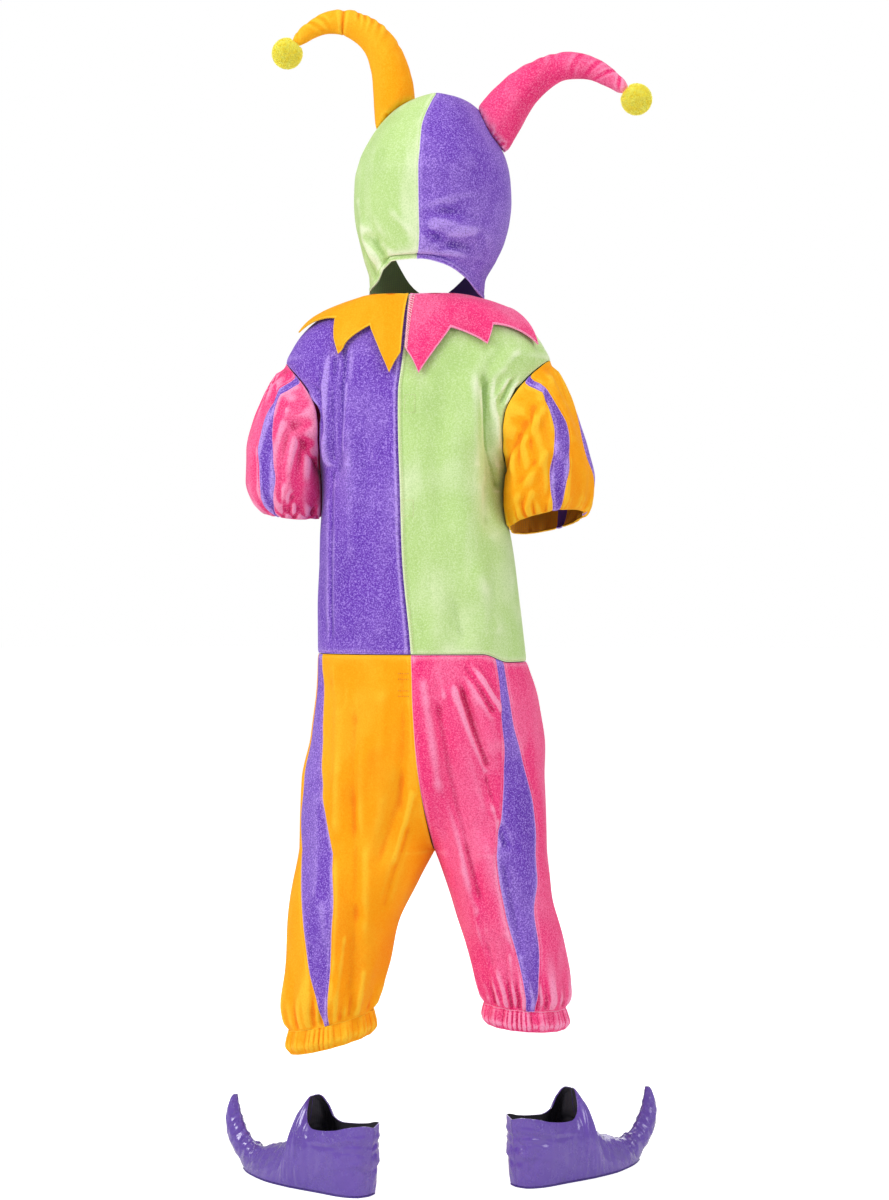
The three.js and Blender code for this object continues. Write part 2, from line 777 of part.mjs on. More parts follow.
for (const [word, leg] of Object.entries(LEGS)) {
  const spans = CUFF_GATHERS * 3;
  addMesh(`leg_${word}_cuff`, clothWall({
    surface: cuffPoint(leg),
    spot: (u, z) => [u, z],
    columns: evenly(spans).slice(0, -1),
    rows: [leg.cuff, mix(leg.cuff, leg.bottom, 0.45), leg.bottom - CUFF_GAP],
    thickness: VELOUR,
    closed: true,
    turn: leg.side,
    step: 1e-4,
  }), leg.colour);
}

// Hood: two halves sewn over the crown, with an oval face opening and closed under the chin.
// Rows are levels from the hem (0) to the crown seam.

const HOOD = table(["level", "z", "middleX", "middleY", "halfWidth", "halfDepth"], [
  [0, 4, 18, 4, 66, 68],
  [1, 24, 18, 6, 67, 72],
  [2, 46, 21, 10, 76, 82],
  [3, 69, 23, 14, 84, 92],
  [4, 92, 23, 18, 89, 99],
  [5, 115, 23, 20, 91, 103],
  [6, 138, 23, 20, 90, 104],
  [7, 161, 24, 20, 85, 100],
  [8, 184, 24, 20, 74, 90],
  [9, 205, 26, 20, 60, 77],
  [10, 221, 28, 20, 45, 66],
  [11, 231.5, 30, 20, 26, 55],
  [12, 236, 31, 20, 0.4, 48],
]);

const HOOD_HEM = table(["angle", "z"], [
  [-180, -14],
  [-130, -8],
  [-85, 6],
  [-55, 14],
  [-30, 37],
  [0, 38],
  [22, 33],
  [47, 20],
  [73, 2.4],
  [100, -1.6],
  [140, -9],
  [180, -14],
]);

const HOOD_CREASES = table(CREASE_COLUMNS, [
  [-1, -38, 66, -20, 42, 7, -3],
  [-1, -50, 80, -36, 40, 7, 3],
  [-1, 28, 80, 78, 66, 8, 3],
  [-1, 34, 60, 80, 48, 7, -3],
  [-1, 50, 40, 88, 24, 7, 2.5],
]);

const FACE = { x: 23, z: 104, halfWidth: 62, halfHeight: 82 };
const HOOD_SEAM = -3;

function hoodPoint(angle, level) {
  const read = (column) => readAt(HOOD, column, level);
  const degrees = THREE.MathUtils.euclideanModulo(angle / RADIAN + 180, 360) - 180;
  const hem = (readAt(HOOD_HEM, "z", degrees) - HOOD[0].z) * (1 - smooth(0, 2.2, level));
  const p = ovalPoint(read("middleX"), read("middleY"), read("halfWidth"), read("halfDepth"), 2,
    angle, read("z") + hem);
  return pushOut(p, read("middleX"), read("middleY"), creaseHeight(HOOD_CREASES, p));
}

// The angle, from the front seam, at which the face opening's edge crosses a level.
function faceAngle(level) {
  const rise = (readAt(HOOD, "z", level) - FACE.z) / FACE.halfHeight;
  if (Math.abs(rise) >= 1) return 0;
  const across = FACE.halfWidth * Math.sqrt(1 - rise * rise);
  return Math.asin(Math.min(1, across / readAt(HOOD, "halfWidth", level)));
}

const HOOD_LEVELS = [
  0, 0.45, 0.93, 1.3, 2.2, 3.6, 5, 6.4, 7.2,
  7.65, 7.95, 8.12, 8.7, 9.4, 10.2, 11, 11.6, 12,
];
const HOOD_TOP = 12;
const CROWN_LEVEL = 11;

// Near the crown each half stays on its own side of the seam.
function keepHalf(side) {
  return (p, level) => {
    if (level < CROWN_LEVEL) return p;
    const seam = readAt(HOOD, "middleX", level);
    p.x = seam + side * Math.max(side * (p.x - seam), SEAM_GAP / 2);
    return p;
  };
}

const HOOD_HALVES = [
  ["hood_left", -1, GREEN],
  ["hood_right", 1, PURPLE],
];

for (const [name, side, colour] of HOOD_HALVES) {
  addMesh(name, clothWall({
    surface: (around, level) => hoodPoint(around * side, Math.min(level, HOOD_TOP)),
    spot: (u, level) => {
      const seam = HOOD_SEAM * RADIAN * side * (1 - smooth(8, 10, level));
      return [mix(seam, Math.PI - faceAngle(level), u), level];
    },
    columns: evenly(9),
    rows: HOOD_LEVELS,
    thickness: VELOUR,
    turn: side,
    rise: 0.01,
    keep: keepHalf(side),
  }), colour);
}

// Horns: stuffed tubes that taper along a curve, each cut to sit on the hood

const wasm = await Module();
wasm.setup();

function toSolid(geometry) {
  const bare = geometry.clone();
  bare.deleteAttribute("normal");
  bare.deleteAttribute("uv");
  const merged = mergeVertices(bare, 1e-3);
  return new wasm.Manifold(new wasm.Mesh({
    numProp: 3,
    vertProperties: new Float32Array(merged.attributes.position.array),
    triVerts: new Uint32Array(merged.index.array),
  }));
}

function toGeometry(solid) {
  const { vertProperties, triVerts } = solid.getMesh();
  const geometry = new THREE.BufferGeometry();
  geometry.setAttribute("position", new THREE.Float32BufferAttribute(vertProperties, 3));
  geometry.setIndex(new THREE.Uint32BufferAttribute(triVerts, 1));
  geometry.computeVertexNormals();
  return geometry;
}

// Joins rings of points, first to last, into one closed body with a flat fan at each end.
function ringsGeometry(rings) {
  const positions = [];
  const faces = [];
  const sides = rings[0].length;
  for (const ring of rings) for (const p of ring) positions.push(p.x, p.y, p.z);
  for (let j = 0; j < rings.length - 1; j += 1) {
    for (let i = 0; i < sides; i += 1) {
      const a = j * sides + i;
      const b = j * sides + ((i + 1) % sides);
      faces.push(a, b, b + sides, a, b + sides, a + sides);
    }
  }
  for (const [j, flip] of [[0, true], [rings.length - 1, false]]) {
    const centre = positions.length / 3;
    const mean = new THREE.Vector3();
    for (const p of rings[j]) mean.addScaledVector(p, 1 / sides);
    positions.push(mean.x, mean.y, mean.z);
    for (let i = 0; i < sides; i += 1) {
      const a = j * sides + i;
      const b = j * sides + ((i + 1) % sides);
      faces.push(...(flip ? [centre, b, a] : [centre, a, b]));
    }
  }
  const geometry = new THREE.BufferGeometry();
  geometry.setAttribute("position", new THREE.Float32BufferAttribute(positions, 3));
  geometry.setIndex(faces);
  return geometry;
}

// The hood's outer form, a little larger, which cuts the horns' bases.
const HOOD_FORM_SIDES = 40;
const HOOD_FORM_CLEAR = SEAM_GAP + 0.4;
const HOOD_FORM_LEVELS = [2.4, 3.6, 5, 6.4, 7.3, 8.15, 8.7, 9.4, 10.2, 11, 11.6, 12];

const hoodForm = toSolid(ringsGeometry(HOOD_FORM_LEVELS.map((level) => {
  return evenly(HOOD_FORM_SIDES).slice(0, -1).map((t) => {
    const angle = t * 2 * Math.PI;
    const normal = outwardNormal(hoodPoint, angle, Math.min(level, HOOD_TOP - 0.02), 1e-3, 0.01);
    return hoodPoint(angle, level).addScaledVector(normal, HOOD_FORM_CLEAR);
  });
})));

const HORN_COLUMNS = ["x", "y", "z", "radius"];

const HORN_LEFT = table(HORN_COLUMNS, [
  [-15, 18, 190, 27],
  [-19.6, 17, 213, 26],
  [-22, 15, 247, 24.5],
  [-28, 14, 276, 22],
  [-39, 13, 299, 20],
  [-56, 12, 315, 18],
  [-79, 11, 324.5, 16],
  [-102, 10, 323, 13],
  [-122, 9, 313, 10.5],
  [-135, 8, 301, 8],
]);

const HORN_RIGHT = table(HORN_COLUMNS, [
  [78, 18, 180, 31],
  [93, 17, 200, 30],
  [110, 15, 223, 26.5],
  [131, 13, 246, 22.5],
  [153, 12, 260, 19],
  [171, 11, 267, 17],
  [192, 10, 267, 15.5],
  [212, 9, 261, 13.5],
  [231, 8, 249, 11],
  [245, 7, 237, 8],
]);

// No lock stands within this cosine of the way to the horn's tip.
const POMPOM = { radius: 18.5, core: 12.5, lockRadius: 2.3, locks: 76, bare: 0.78 };
const POMPOM_LEFT = new THREE.Vector3(-145.5, 7, 288.7);
const POMPOM_RIGHT = new THREE.Vector3(258.3, 6, 226);
const HORN_SIDES = 14;
const HORN_STEPS = 14;
const HORN_TIP = 3.5;

function hornRings(rows, pompom) {
  const points = rows.map((row) => new THREE.Vector3(row.x, row.y, row.z));
  const radii = rows.map((row) => row.radius);
  const away = points[points.length - 1].clone().sub(pompom).normalize();
  points.push(pompom.clone().addScaledVector(away, POMPOM.core + SEAM_GAP));
  radii.push(HORN_TIP);
  const curve = new THREE.CatmullRomCurve3(points);
  return evenly(HORN_STEPS).map((t) => {
    const place = curve.getPoint(t);
    const forward = curve.getTangent(t);
    const across = new THREE.Vector3(0, 1, 0).cross(forward).normalize();
    const deep = forward.clone().cross(across).normalize();
    const along = t * (radii.length - 1);
    const i = Math.min(radii.length - 2, Math.floor(along));
    const radius = mix(radii[i], radii[i + 1], along - i);
    return evenly(HORN_SIDES).slice(0, -1).map((s) => {
      const turn = s * 2 * Math.PI;
      return place.clone()
        .addScaledVector(across, Math.cos(turn) * radius)
        .addScaledVector(deep, Math.sin(turn) * radius);
    });
  });
}

// Pompom: a ball with three-sided locks all round, apart from where the horn's tip goes in.
function pompomGeometry(centre, tip) {
  const core = new THREE.IcosahedronGeometry(POMPOM.core, 1);
  const away = tip.clone().sub(centre).normalize();
  const locks = [];
  for (let k = 0; k < POMPOM.locks; k += 1) {
    const z = 1 - (2 * k + 1) / POMPOM.locks;
    const turn = k * Math.PI * (3 - Math.sqrt(5));
    const flat = Math.sqrt(1 - z * z);
    const way = new THREE.Vector3(flat * Math.cos(turn), flat * Math.sin(turn), z);
    if (way.dot(away) > POMPOM.bare) continue;
    const long = POMPOM.radius * (1 + 0.04 * Math.sin(k * 2.7));
    const low = POMPOM.core * 0.8;
    const lock = new THREE.ConeGeometry(POMPOM.lockRadius, long - low, 3, 1);
    lock.translate(0, (long + low) / 2, 0);
    lock.applyQuaternion(new THREE.Quaternion().setFromUnitVectors(new THREE.Vector3(0, 1, 0), way));
    locks.push(toSolid(lock));
  }
  const ball = locks.reduce((whole, lock) => whole.add(lock), toSolid(core));
  return toGeometry(ball).translate(centre.x, centre.y, centre.z);
}

const HORNS = [
  ["left", HORN_LEFT, POMPOM_LEFT, ORANGE],
  ["right", HORN_RIGHT, POMPOM_RIGHT, PINK],
];

for (const [word, rows, pompom, colour] of HORNS) {
  const horn = toSolid(ringsGeometry(hornRings(rows, pompom))).subtract(hoodForm);
  const last = rows[rows.length - 1];
  addMesh(`horn_${word}`, toGeometry(horn), colour);
  const tip = new THREE.Vector3(last.x, last.y, last.z);
  addMesh(`pompom_${word}`, pompomGeometry(pompom, tip), YELLOW, 1);
}

// Shoe covers: two halves over a flat sole, with a tall tongue and a toe that curls up.
// Each station runs from the sole edge or toe underside up to the top line. Forward is +Y
// and the heel's middle is the shoe's origin, on the floor.

const SOLE = 2;
const SHOE = table(
  ["station", "lowY", "lowZ", "topY", "topZ", "lowHalf", "topHalf", "bulge", "round"],
  [
    [0, -27, 0, -35, 76, 0.3, 0.3, 0, 0],
    [1, -24, 0, -30, 79, 12, 13, 2, 0],
    [2, -14, 0, -16, 77, 20, 22, 3, 0],
    [3, 2, 0, 2, 72, 25, 26, 4, 0],
    [4, 22, 0, 22, 69, 27, 27, 4, 0],
    [5, 38, 0, 38, 68, 29, 25, 4, 0.1],
    [6, 52, 0, 50, 73, 31, 22, 5, 0.2],
    [7, 62, 0, 56, 90, 32, 16, 6, 0.3],
    [8, 70, 0, 61, 100, 33, 7, 7, 0.4],
    [9, 77, 0, 64, 99, 33, 0.3, 8, 0.5],
    [10, 85, 0, 68, 76, 33, 0.3, 5, 0.7],
    [11, 94, 0, 74, 59, 33, 0.3, 2, 0.9],
    [12, 108, 0, 90, 47, 32, 0.3, 0, 1],
    [13, 126, 0, 114, 37, 28, 0.3, 0, 1],
    [14, 145, 0, 136, 30, 22, 0.3, 0, 1],
    [15, 161, 0, 150, 27, 15, 0.3, 2, 1],
    [16, 174, 1, 162, 31, 7, 0.3, 7, 0.8],
    [17, 187, 8, 172, 38, 0.3, 0.3, 11, 0],
    [18, 198, 19, 180, 48, 0.3, 0.3, 11, 0],
    [19, 206, 33, 186, 60, 0.3, 0.3, 10, 0],
    [20, 209, 49, 189, 70, 0.3, 0.3, 8.5, 0],
    [21, 206, 66, 191, 77, 0.3, 0.3, 6, 0],
    [22, 198, 82, 192, 82, 0.3, 0.3, 3.5, 0],
  ],
);

function shoePoint(side) {
  return (station, t) => {
    const read = (column) => readAt(SHOE, column, station);
    const quarter = (t * Math.PI) / 2;
    const up = mix(t, Math.sin(quarter), read("round"));
    const half = mix(read("topHalf"), read("lowHalf"), Math.max(0, Math.cos(quarter)) ** 0.9);
    const x = half + read("bulge") * Math.max(0, Math.sin(2 * quarter)) ** 0.7;
    const y = mix(read("lowY"), read("topY"), up);
    const z = mix(read("lowZ"), read("topZ"), up) + SOLE + SEAM_GAP;
    return new THREE.Vector3(side * x, y, z);
  };
}

function soleGeometry() {
  const rows = SHOE.filter((row) => row.lowZ <= 1);
  const right = rows.map((row) => new THREE.Vector2(row.lowHalf, row.lowY));
  const left = rows.map((row) => new THREE.Vector2(-row.lowHalf, row.lowY)).reverse();
  const outline = new THREE.Shape([...right, ...left]);
  return new THREE.ExtrudeGeometry(outline, { depth: SOLE, bevelEnabled: false });
}

const SHOES = [
  { word: "left", x: -61.5, y: -45, turnOut: 54 },
  { word: "right", x: 139, y: 20, turnOut: -41 },
];

for (const { word, x, y, turnOut } of SHOES) {
  const shoe = new THREE.Group();
  shoe.position.set(x, y, FLOOR);
  shoe.rotation.z = turnOut * RADIAN;
  costume.add(shoe);
  for (const [half, side] of [["port", -1], ["starboard", 1]]) {
    addMesh(`shoe_${word}_${half}`, clothWall({
      surface: shoePoint(side),
      spot: (station, t) => [station, t],
      columns: SHOE.map((row) => row.station),
      rows: [0, 0.25, 0.5, 0.76, 1],
      thickness: VINYL,
      turn: side,
      step: 0.02,
      rise: 0.02,
      keep: (p) => p.setX(side * Math.max(side * p.x, SEAM_GAP / 2)),
    }), PURPLE, 0.3, shoe);
  }
  addMesh(`shoe_${word}_sole`, soleGeometry(), PURPLE, 0.4, shoe);
}

export default costume;
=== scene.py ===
# Jester costume in velour, seen from behind: jumpsuit with jagged collar, puff sleeves and
# gored legs, a hood with two stuffed horns and pompoms, and a pair of shoe covers.
# Shapes are worked out in millimetres and turned into metres when a mesh is made.

import math

import bpy
import numpy as np
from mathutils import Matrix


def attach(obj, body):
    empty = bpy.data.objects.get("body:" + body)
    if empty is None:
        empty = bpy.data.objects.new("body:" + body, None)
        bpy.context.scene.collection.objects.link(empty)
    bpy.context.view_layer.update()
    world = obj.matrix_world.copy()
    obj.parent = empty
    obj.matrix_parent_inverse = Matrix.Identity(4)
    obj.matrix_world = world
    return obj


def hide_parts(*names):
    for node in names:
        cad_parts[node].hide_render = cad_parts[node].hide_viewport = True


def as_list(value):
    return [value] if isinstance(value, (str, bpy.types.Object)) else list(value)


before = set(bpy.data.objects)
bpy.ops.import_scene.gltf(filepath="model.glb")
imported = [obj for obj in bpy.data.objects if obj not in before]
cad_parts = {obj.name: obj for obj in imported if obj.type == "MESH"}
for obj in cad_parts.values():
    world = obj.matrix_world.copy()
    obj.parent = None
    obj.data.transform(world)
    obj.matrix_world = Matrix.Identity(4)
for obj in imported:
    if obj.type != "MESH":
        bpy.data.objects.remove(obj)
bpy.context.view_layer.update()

# Studio.
# A plain pale floor under the shoe covers, a white surround and large soft lamps, with the
# camera behind the costume at half its height.

FLOOR_Z = -1.0172
FLOOR_REACH = 30
FLOOR_GLOW = 0.64
SURROUND_FILL = 0.42
studio = bpy.context.scene
studio.view_settings.view_transform = "Standard"

floor_mesh = bpy.data.meshes.new("floor")
floor_corners = [(-1, -1), (1, -1), (1, 1), (-1, 1)]
floor_mesh.from_pydata(
    [(x * FLOOR_REACH, y * FLOOR_REACH, FLOOR_Z) for x, y in floor_corners], [], [(0, 1, 2, 3)]
)
floor = bpy.data.objects.new("floor", floor_mesh)
studio.collection.objects.link(floor)
floor_paper = bpy.data.materials.new("floor_paper")
floor_paper.use_nodes = True
floor_shader = floor_paper.node_tree.nodes["Principled BSDF"]
floor_shader.inputs["Base Color"].default_value = (0.9, 0.9, 0.9, 1)
floor_shader.inputs["Roughness"].default_value = 0.9
floor_shader.inputs["Emission Strength"].default_value = FLOOR_GLOW
floor_seen = floor_paper.node_tree.nodes.new("ShaderNodeLightPath")
floor_paper.node_tree.links.new(
    floor_seen.outputs["Is Camera Ray"], floor_shader.inputs["Emission Color"]
)
floor_mesh.materials.append(floor_paper)

surround = bpy.data.worlds.new("surround")
studio.world = surround
surround.use_nodes = True
surround_tree = surround.node_tree
surround_tree.nodes.clear()
seen_white = surround_tree.nodes.new("ShaderNodeBackground")
seen_white.inputs["Color"].default_value = (1, 1, 1, 1)
seen_white.inputs["Strength"].default_value = 1.0
soft_fill = surround_tree.nodes.new("ShaderNodeBackground")
soft_fill.inputs["Color"].default_value = (1, 1, 1, 1)
soft_fill.inputs["Strength"].default_value = SURROUND_FILL
ray_kind = surround_tree.nodes.new("ShaderNodeLightPath")
choose = surround_tree.nodes.new("ShaderNodeMixShader")
surround_out = surround_tree.nodes.new("ShaderNodeOutputWorld")
surround_tree.links.new(ray_kind.outputs["Is Camera Ray"], choose.inputs[0])
surround_tree.links.new(soft_fill.outputs[0], choose.inputs[1])
surround_tree.links.new(seen_white.outputs[0], choose.inputs[2])
surround_tree.links.new(choose.outputs[0], surround_out.inputs["Surface"])

LAMPS = [
    # name, place, size, watts
    ("lamp_left", (-2.2, -1.9, 1.0), 1.3, 56),
    ("lamp_right", (2.5, -1.3, 0.3), 1.2, 22),
    ("lamp_top", (0.3, -0.8, 2.3), 1.4, 24),
    ("lamp_front", (0.4, 2.6, 0.6), 2.0, 24),
]
LAMP_AIM = np.array([0.03, 0.0, -0.35])
for lamp_name, place, size, watts in LAMPS:
    lamp_data = bpy.data.lights.new(lamp_name, "AREA")
    lamp_data.shape = "SQUARE"
    lamp_data.size = size
    lamp_data.energy = watts
    lamp = bpy.data.objects.new(lamp_name, lamp_data)
    lamp.location = place
    away = np.array(place) - LAMP_AIM
    lamp.rotation_euler = (
        math.acos(away[2] / np.linalg.norm(away)),
        0,
        math.atan2(away[1], away[0]) + math.pi / 2,
    )
    studio.collection.objects.link(lamp)

CAMERA_TURN = math.radians(6.25)
CAMERA_DISTANCE = 2.7
CAMERA_AIM_RIGHT = 0.0385
CAMERA_HEIGHT = -0.345
CAMERA_LENS = 70.44
camera_data = bpy.data.cameras.new("camera")
camera_data.sensor_fit = "VERTICAL"
camera_data.sensor_height = 36
camera_data.lens = CAMERA_LENS
camera = bpy.data.objects.new("camera", camera_data)
camera.location = (
    CAMERA_AIM_RIGHT * math.cos(CAMERA_TURN) + CAMERA_DISTANCE * math.sin(CAMERA_TURN),
    CAMERA_AIM_RIGHT * math.sin(CAMERA_TURN) - CAMERA_DISTANCE * math.cos(CAMERA_TURN),
    CAMERA_HEIGHT,
)
camera.rotation_euler = (math.pi / 2, 0, CAMERA_TURN)
studio.collection.objects.link(camera)
studio.camera = camera

# Bodice.
# Two backs and two fronts in short-pile velour, purple on the left and green on the right,
# sewn at the sides and shoulders. The right back laps over the left back down the middle.

VELOUR = 1.6
NECK = 0
SHOULDER = -72
ARMPIT = -195
WAIST = -406
ARMHOLE_HALF_DEPTH = 58
NECK_FRONT_DROP = 30
WAIST_DROP = 9
WAIST_DROP_FROM = 0.62
WAIST_DROP_FULL = 0.86
WAIST_DROP_FADE = 60
WAIST_GAP = 0.5
BODY_POWER = 2.2
LAP = 14
LAP_DROP = 2.2
SEAM_WIDTH = 1.9
ROWS_BY_SEAM = np.array([0.5, 1.2, 2.2])
RADIAN = math.pi / 180


def table(columns, rows):
    return {name: np.array([row[i] for row in rows], float) for i, name in enumerate(columns)}


def mix(a, b, t):
    return a + (b - a) * t


def smooth(low, high, value):
    t = np.clip((value - low) / (high - low), 0, 1)
    return t * t * (3 - 2 * t)


def bell(distance, width):
    return np.exp(-((distance / width) ** 2))


def read_at(rows, column, at):
    """One column of a table at any places along its first column, without overshoot."""
    x = next(iter(rows.values()))
    y = rows[column]
    at = np.clip(at, x[0], x[-1])
    i = np.clip(np.searchsorted(x, at) - 1, 0, len(x) - 2)
    slope = np.diff(y) / np.diff(x)
    before, after = slope[:-1], slope[1:]
    same = before * after > 0
    inner = np.where(same, 2 * before * after / np.where(same, before + after, 1), 0)
    tangent = np.concatenate([slope[:1], inner, slope[-1:]])
    step = x[i + 1] - x[i]
    t = (at - x[i]) / step
    return (
        y[i] * (2 * t**3 - 3 * t**2 + 1)
        + tangent[i] * step * (t**3 - 2 * t**2 + t)
        + y[i + 1] * (3 * t**2 - 2 * t**3)
        + tangent[i + 1] * step * (t**3 - t**2)
    )


def read_row(rows, at, *columns):
    return [read_at(rows, column, at) for column in columns]


def oval_point(middle_x, middle_y, half_width, half_depth, power, angle, z):
    """Angle 0 is the back of a tube, 90 degrees is +X and 180 degrees is the front."""
    s, c = np.sin(angle), np.cos(angle)
    x = middle_x + half_width * np.sign(s) * np.abs(s) ** (2 / power)
    y = middle_y - half_depth * np.sign(c) * np.abs(c) ** (2 / power)
    return np.stack(np.broadcast_arrays(x, y, z), axis=-1)


def crease_height(creases, p):
    """Creases run on the back (face -1) or front (face 1) from x0, z0 to x1, z1."""
    x, y, z = p[..., 0], p[..., 1], p[..., 2]
    total = np.zeros(x.shape)
    for face, x0, z0, x1, z1, width, height in creases:
        dx, dz = x1 - x0, z1 - z0
        length = math.hypot(dx, dz)
        along = ((x - x0) * dx + (z - z0) * dz) / length
        across = ((x - x0) * dz - (z - z0) * dx) / length
        end = width * 1.5
        fade = smooth(-end, end, along) * (1 - smooth(length - end, length + end, along))
        total += height * fade * smooth(0, 25, y * face) * bell(across, width)
    return total * smooth(0, 30, np.abs(z - WAIST))


def drape(p, size, height):
    """Slow uneven swells of hanging cloth, the same every time."""
    x, y, z = p[..., 0] / size, p[..., 1] / size, p[..., 2] / size
    swell = np.sin(1.9 * x + 0.7 * z + 1.3) * np.sin(1.1 * z - 0.6 * x + 0.9 * y)
    swell += 0.6 * np.sin(3.1 * x - 1.7 * z + 2.1 * y + 0.4) * np.sin(0.8 * z + 2.3)
    return height * swell


def push_out(p, middle_x, middle_y, distance):
    away = p[..., :2] - np.stack(np.broadcast_arrays(middle_x, middle_y), axis=-1)
    away = away / np.maximum(np.linalg.norm(away, axis=-1, keepdims=True), 1e-9)
    moved = p.copy()
    moved[..., :2] += away * np.asarray(distance)[..., None]
    return moved


def outward_normal(surface, a, b, step_a, step_b):
    along = surface(a + step_a, b) - surface(a - step_a, b)
    up = surface(a, b + step_b) - surface(a, b - step_b)
    normal = np.cross(along, up)
    return normal / np.maximum(np.linalg.norm(normal, axis=-1, keepdims=True), 1e-12)


def seam_lines(width, spans, near=(0.5, 1.2, 2.2, 3.4)):
    """Places from 0 to 1 across a panel, closer together beside its two edges."""
    even = np.linspace(0, 1, spans + 1)
    close = np.array([d / width for d in near])
    even = even[(even < 1e-9) | (even > close[-1] + 0.3 / spans)]
    even = even[(even > 1 - 1e-9) | (even < 1 - close[-1] - 0.3 / spans)]
    return np.sort(np.concatenate([even, close, 1 - close]))


def shade_smooth(mesh):
    mesh.polygons.foreach_set("use_smooth", [True] * len(mesh.polygons))


def add_piece(name, mesh):
    piece = bpy.data.objects.new(name, mesh)
    studio.collection.objects.link(piece)
    return piece


def make_mesh(name, points, faces, materials, picks=None, sharp=math.radians(55)):
    """A smooth-shaded mesh object from millimetre points; picks holds a material per face."""
    mesh = bpy.data.meshes.new(name)
    mesh.from_pydata((np.asarray(points) * 0.001).tolist(), [], np.asarray(faces).tolist())
    for material in materials:
        mesh.materials.append(material)
    shade_smooth(mesh)
    if picks is not None:
        mesh.polygons.foreach_set("material_index", np.asarray(picks, np.int32))
    mesh.set_sharp_from_angle(angle=sharp)
    mesh.update()
    return add_piece(name, mesh)


def lay_cloth(
    name, surface, spot, columns, rows, thickness, materials,
    turn=1, closed=False, step=1e-3, rise=0.05, seams=(0, 0, 0, 0), relief=None, keep=None,
):
    """A panel of cloth, as a grid on surface(a, b) with its lining one wall inside it. Seams
    are how far the cloth sinks at its left, right, low and high edge."""
    u, v = np.meshgrid(columns, rows)
    a, b = spot(u, v)
    outer = surface(a, b)
    normal = outward_normal(surface, a, b, step, rise) * turn

    def lengths(axis):
        steps = np.linalg.norm(np.diff(outer, axis=axis), axis=2)
        first = np.zeros_like(steps.take([0], axis=axis))
        return np.cumsum(np.concatenate([first, steps], axis=axis), axis=axis)

    across, up = lengths(1), lengths(0)
    edges = [across, across[:, -1:] - across, up, up[-1:] - up]
    sink = np.zeros(u.shape)
    for distance, depth in zip(edges, seams):
        sink += depth * bell(distance, SEAM_WIDTH)
    height = -sink
    if relief is not None:
        height = height + relief(u, v, outer, edges)
    outer = outer + normal * height[..., None]
    inner = outer - normal * thickness
    if keep is not None:
        outer, inner = keep(outer, v), keep(inner, v)
    high, wide = u.shape
    index = np.arange(high * wide).reshape(high, wide)
    if closed:
        index = np.concatenate([index, index[:, :1]], axis=1)
    under = index + high * wide
    ll, lr, ul, ur = index[:-1, :-1], index[:-1, 1:], index[1:, :-1], index[1:, 1:]
    front = np.stack([ll, lr, ur, ul], axis=-1).reshape(-1, 4)
    ll, lr, ul, ur = under[:-1, :-1], under[:-1, 1:], under[1:, :-1], under[1:, 1:]
    back = np.stack([ll, ul, ur, lr], axis=-1).reshape(-1, 4)
    rims = [
        np.stack([under[0, :-1], under[0, 1:], index[0, 1:], index[0, :-1]], axis=-1),
        np.stack([index[-1, :-1], index[-1, 1:], under[-1, 1:], under[-1, :-1]], axis=-1),
    ]
    if not closed:
        rims += [
            np.stack([under[:-1, 0], index[:-1, 0], index[1:, 0], under[1:, 0]], axis=-1),
            np.stack([index[:-1, -1], under[:-1, -1], under[1:, -1], index[1:, -1]], axis=-1),
        ]
    faces = np.concatenate([front, back, *rims])
    if turn < 0:
        faces = faces[:, ::-1]
    rim_faces = sum(len(rim) for rim in rims)
    picks = [0] * len(front) + [1] * len(back) + [0] * rim_faces
    points = np.concatenate([outer.reshape(-1, 3), inner.reshape(-1, 3)])
    return make_mesh(name, points, faces, materials, picks)


def stand_for(piece, node, slot):
    """The piece takes the place of its node; the slot for its colour is not used."""
    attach(piece, "root")
    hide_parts(node)


def dress(piece, node, slot, flat, area, rests_on):
    """The piece stands for its node; the size of cloth it was cut from and its area are not used.
    """
    stand_for(piece, node, slot)
    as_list(rests_on)


def add_node(tree, kind, inputs=(), **settings):
    made = tree.nodes.new(kind)
    for key, value in settings.items():
        setattr(made, key, value)
    for name, value in dict(inputs).items():
        if isinstance(value, bpy.types.NodeSocket):
            tree.links.new(value, made.inputs[name])
        else:
            made.inputs[name].default_value = value
    return made


def blend_colours(tree, factor, first, second):
    inputs = {0: factor, 6: first, 7: second}
    return add_node(tree, "ShaderNodeMix", inputs, data_type="RGBA").outputs[2]


def reckon(tree, operation, first, second):
    inputs = {0: first, 1: second}
    return add_node(tree, "ShaderNodeMath", inputs, operation=operation).outputs[0]


def ramp(tree, value, low, high, to_low=0.0, to_high=1.0):
    limits = {"From Min": low, "From Max": high, "To Min": to_low, "To Max": to_high}
    made = add_node(tree, "ShaderNodeMapRange", {"Value": value, **limits})
    made.interpolation_type = "SMOOTHSTEP"
    return made.outputs["Result"]


def start_group(name, inputs):
    """A group with its own inputs, which puts out a colour, a roughness and a height."""
    group = bpy.data.node_groups.new(name, "ShaderNodeTree")
    kinds = {"colour": "NodeSocketColor", "number": "NodeSocketFloat"}
    for socket, kind, value in inputs:
        made = group.interface.new_socket(name=socket, in_out="INPUT", socket_type=kinds[kind])
        made.default_value = value
    for socket, kind in (("Colour", "colour"), ("Roughness", "number"), ("Height", "number")):
        group.interface.new_socket(name=socket, in_out="OUTPUT", socket_type=kinds[kind])
    return group, group.nodes.new("NodeGroupInput"), group.nodes.new("NodeGroupOutput")


def finish_group(group, group_out, colour, roughness, height):
    group.links.new(colour, group_out.inputs["Colour"])
    group.links.new(roughness, group_out.inputs["Roughness"])
    group.links.new(height, group_out.inputs["Height"])


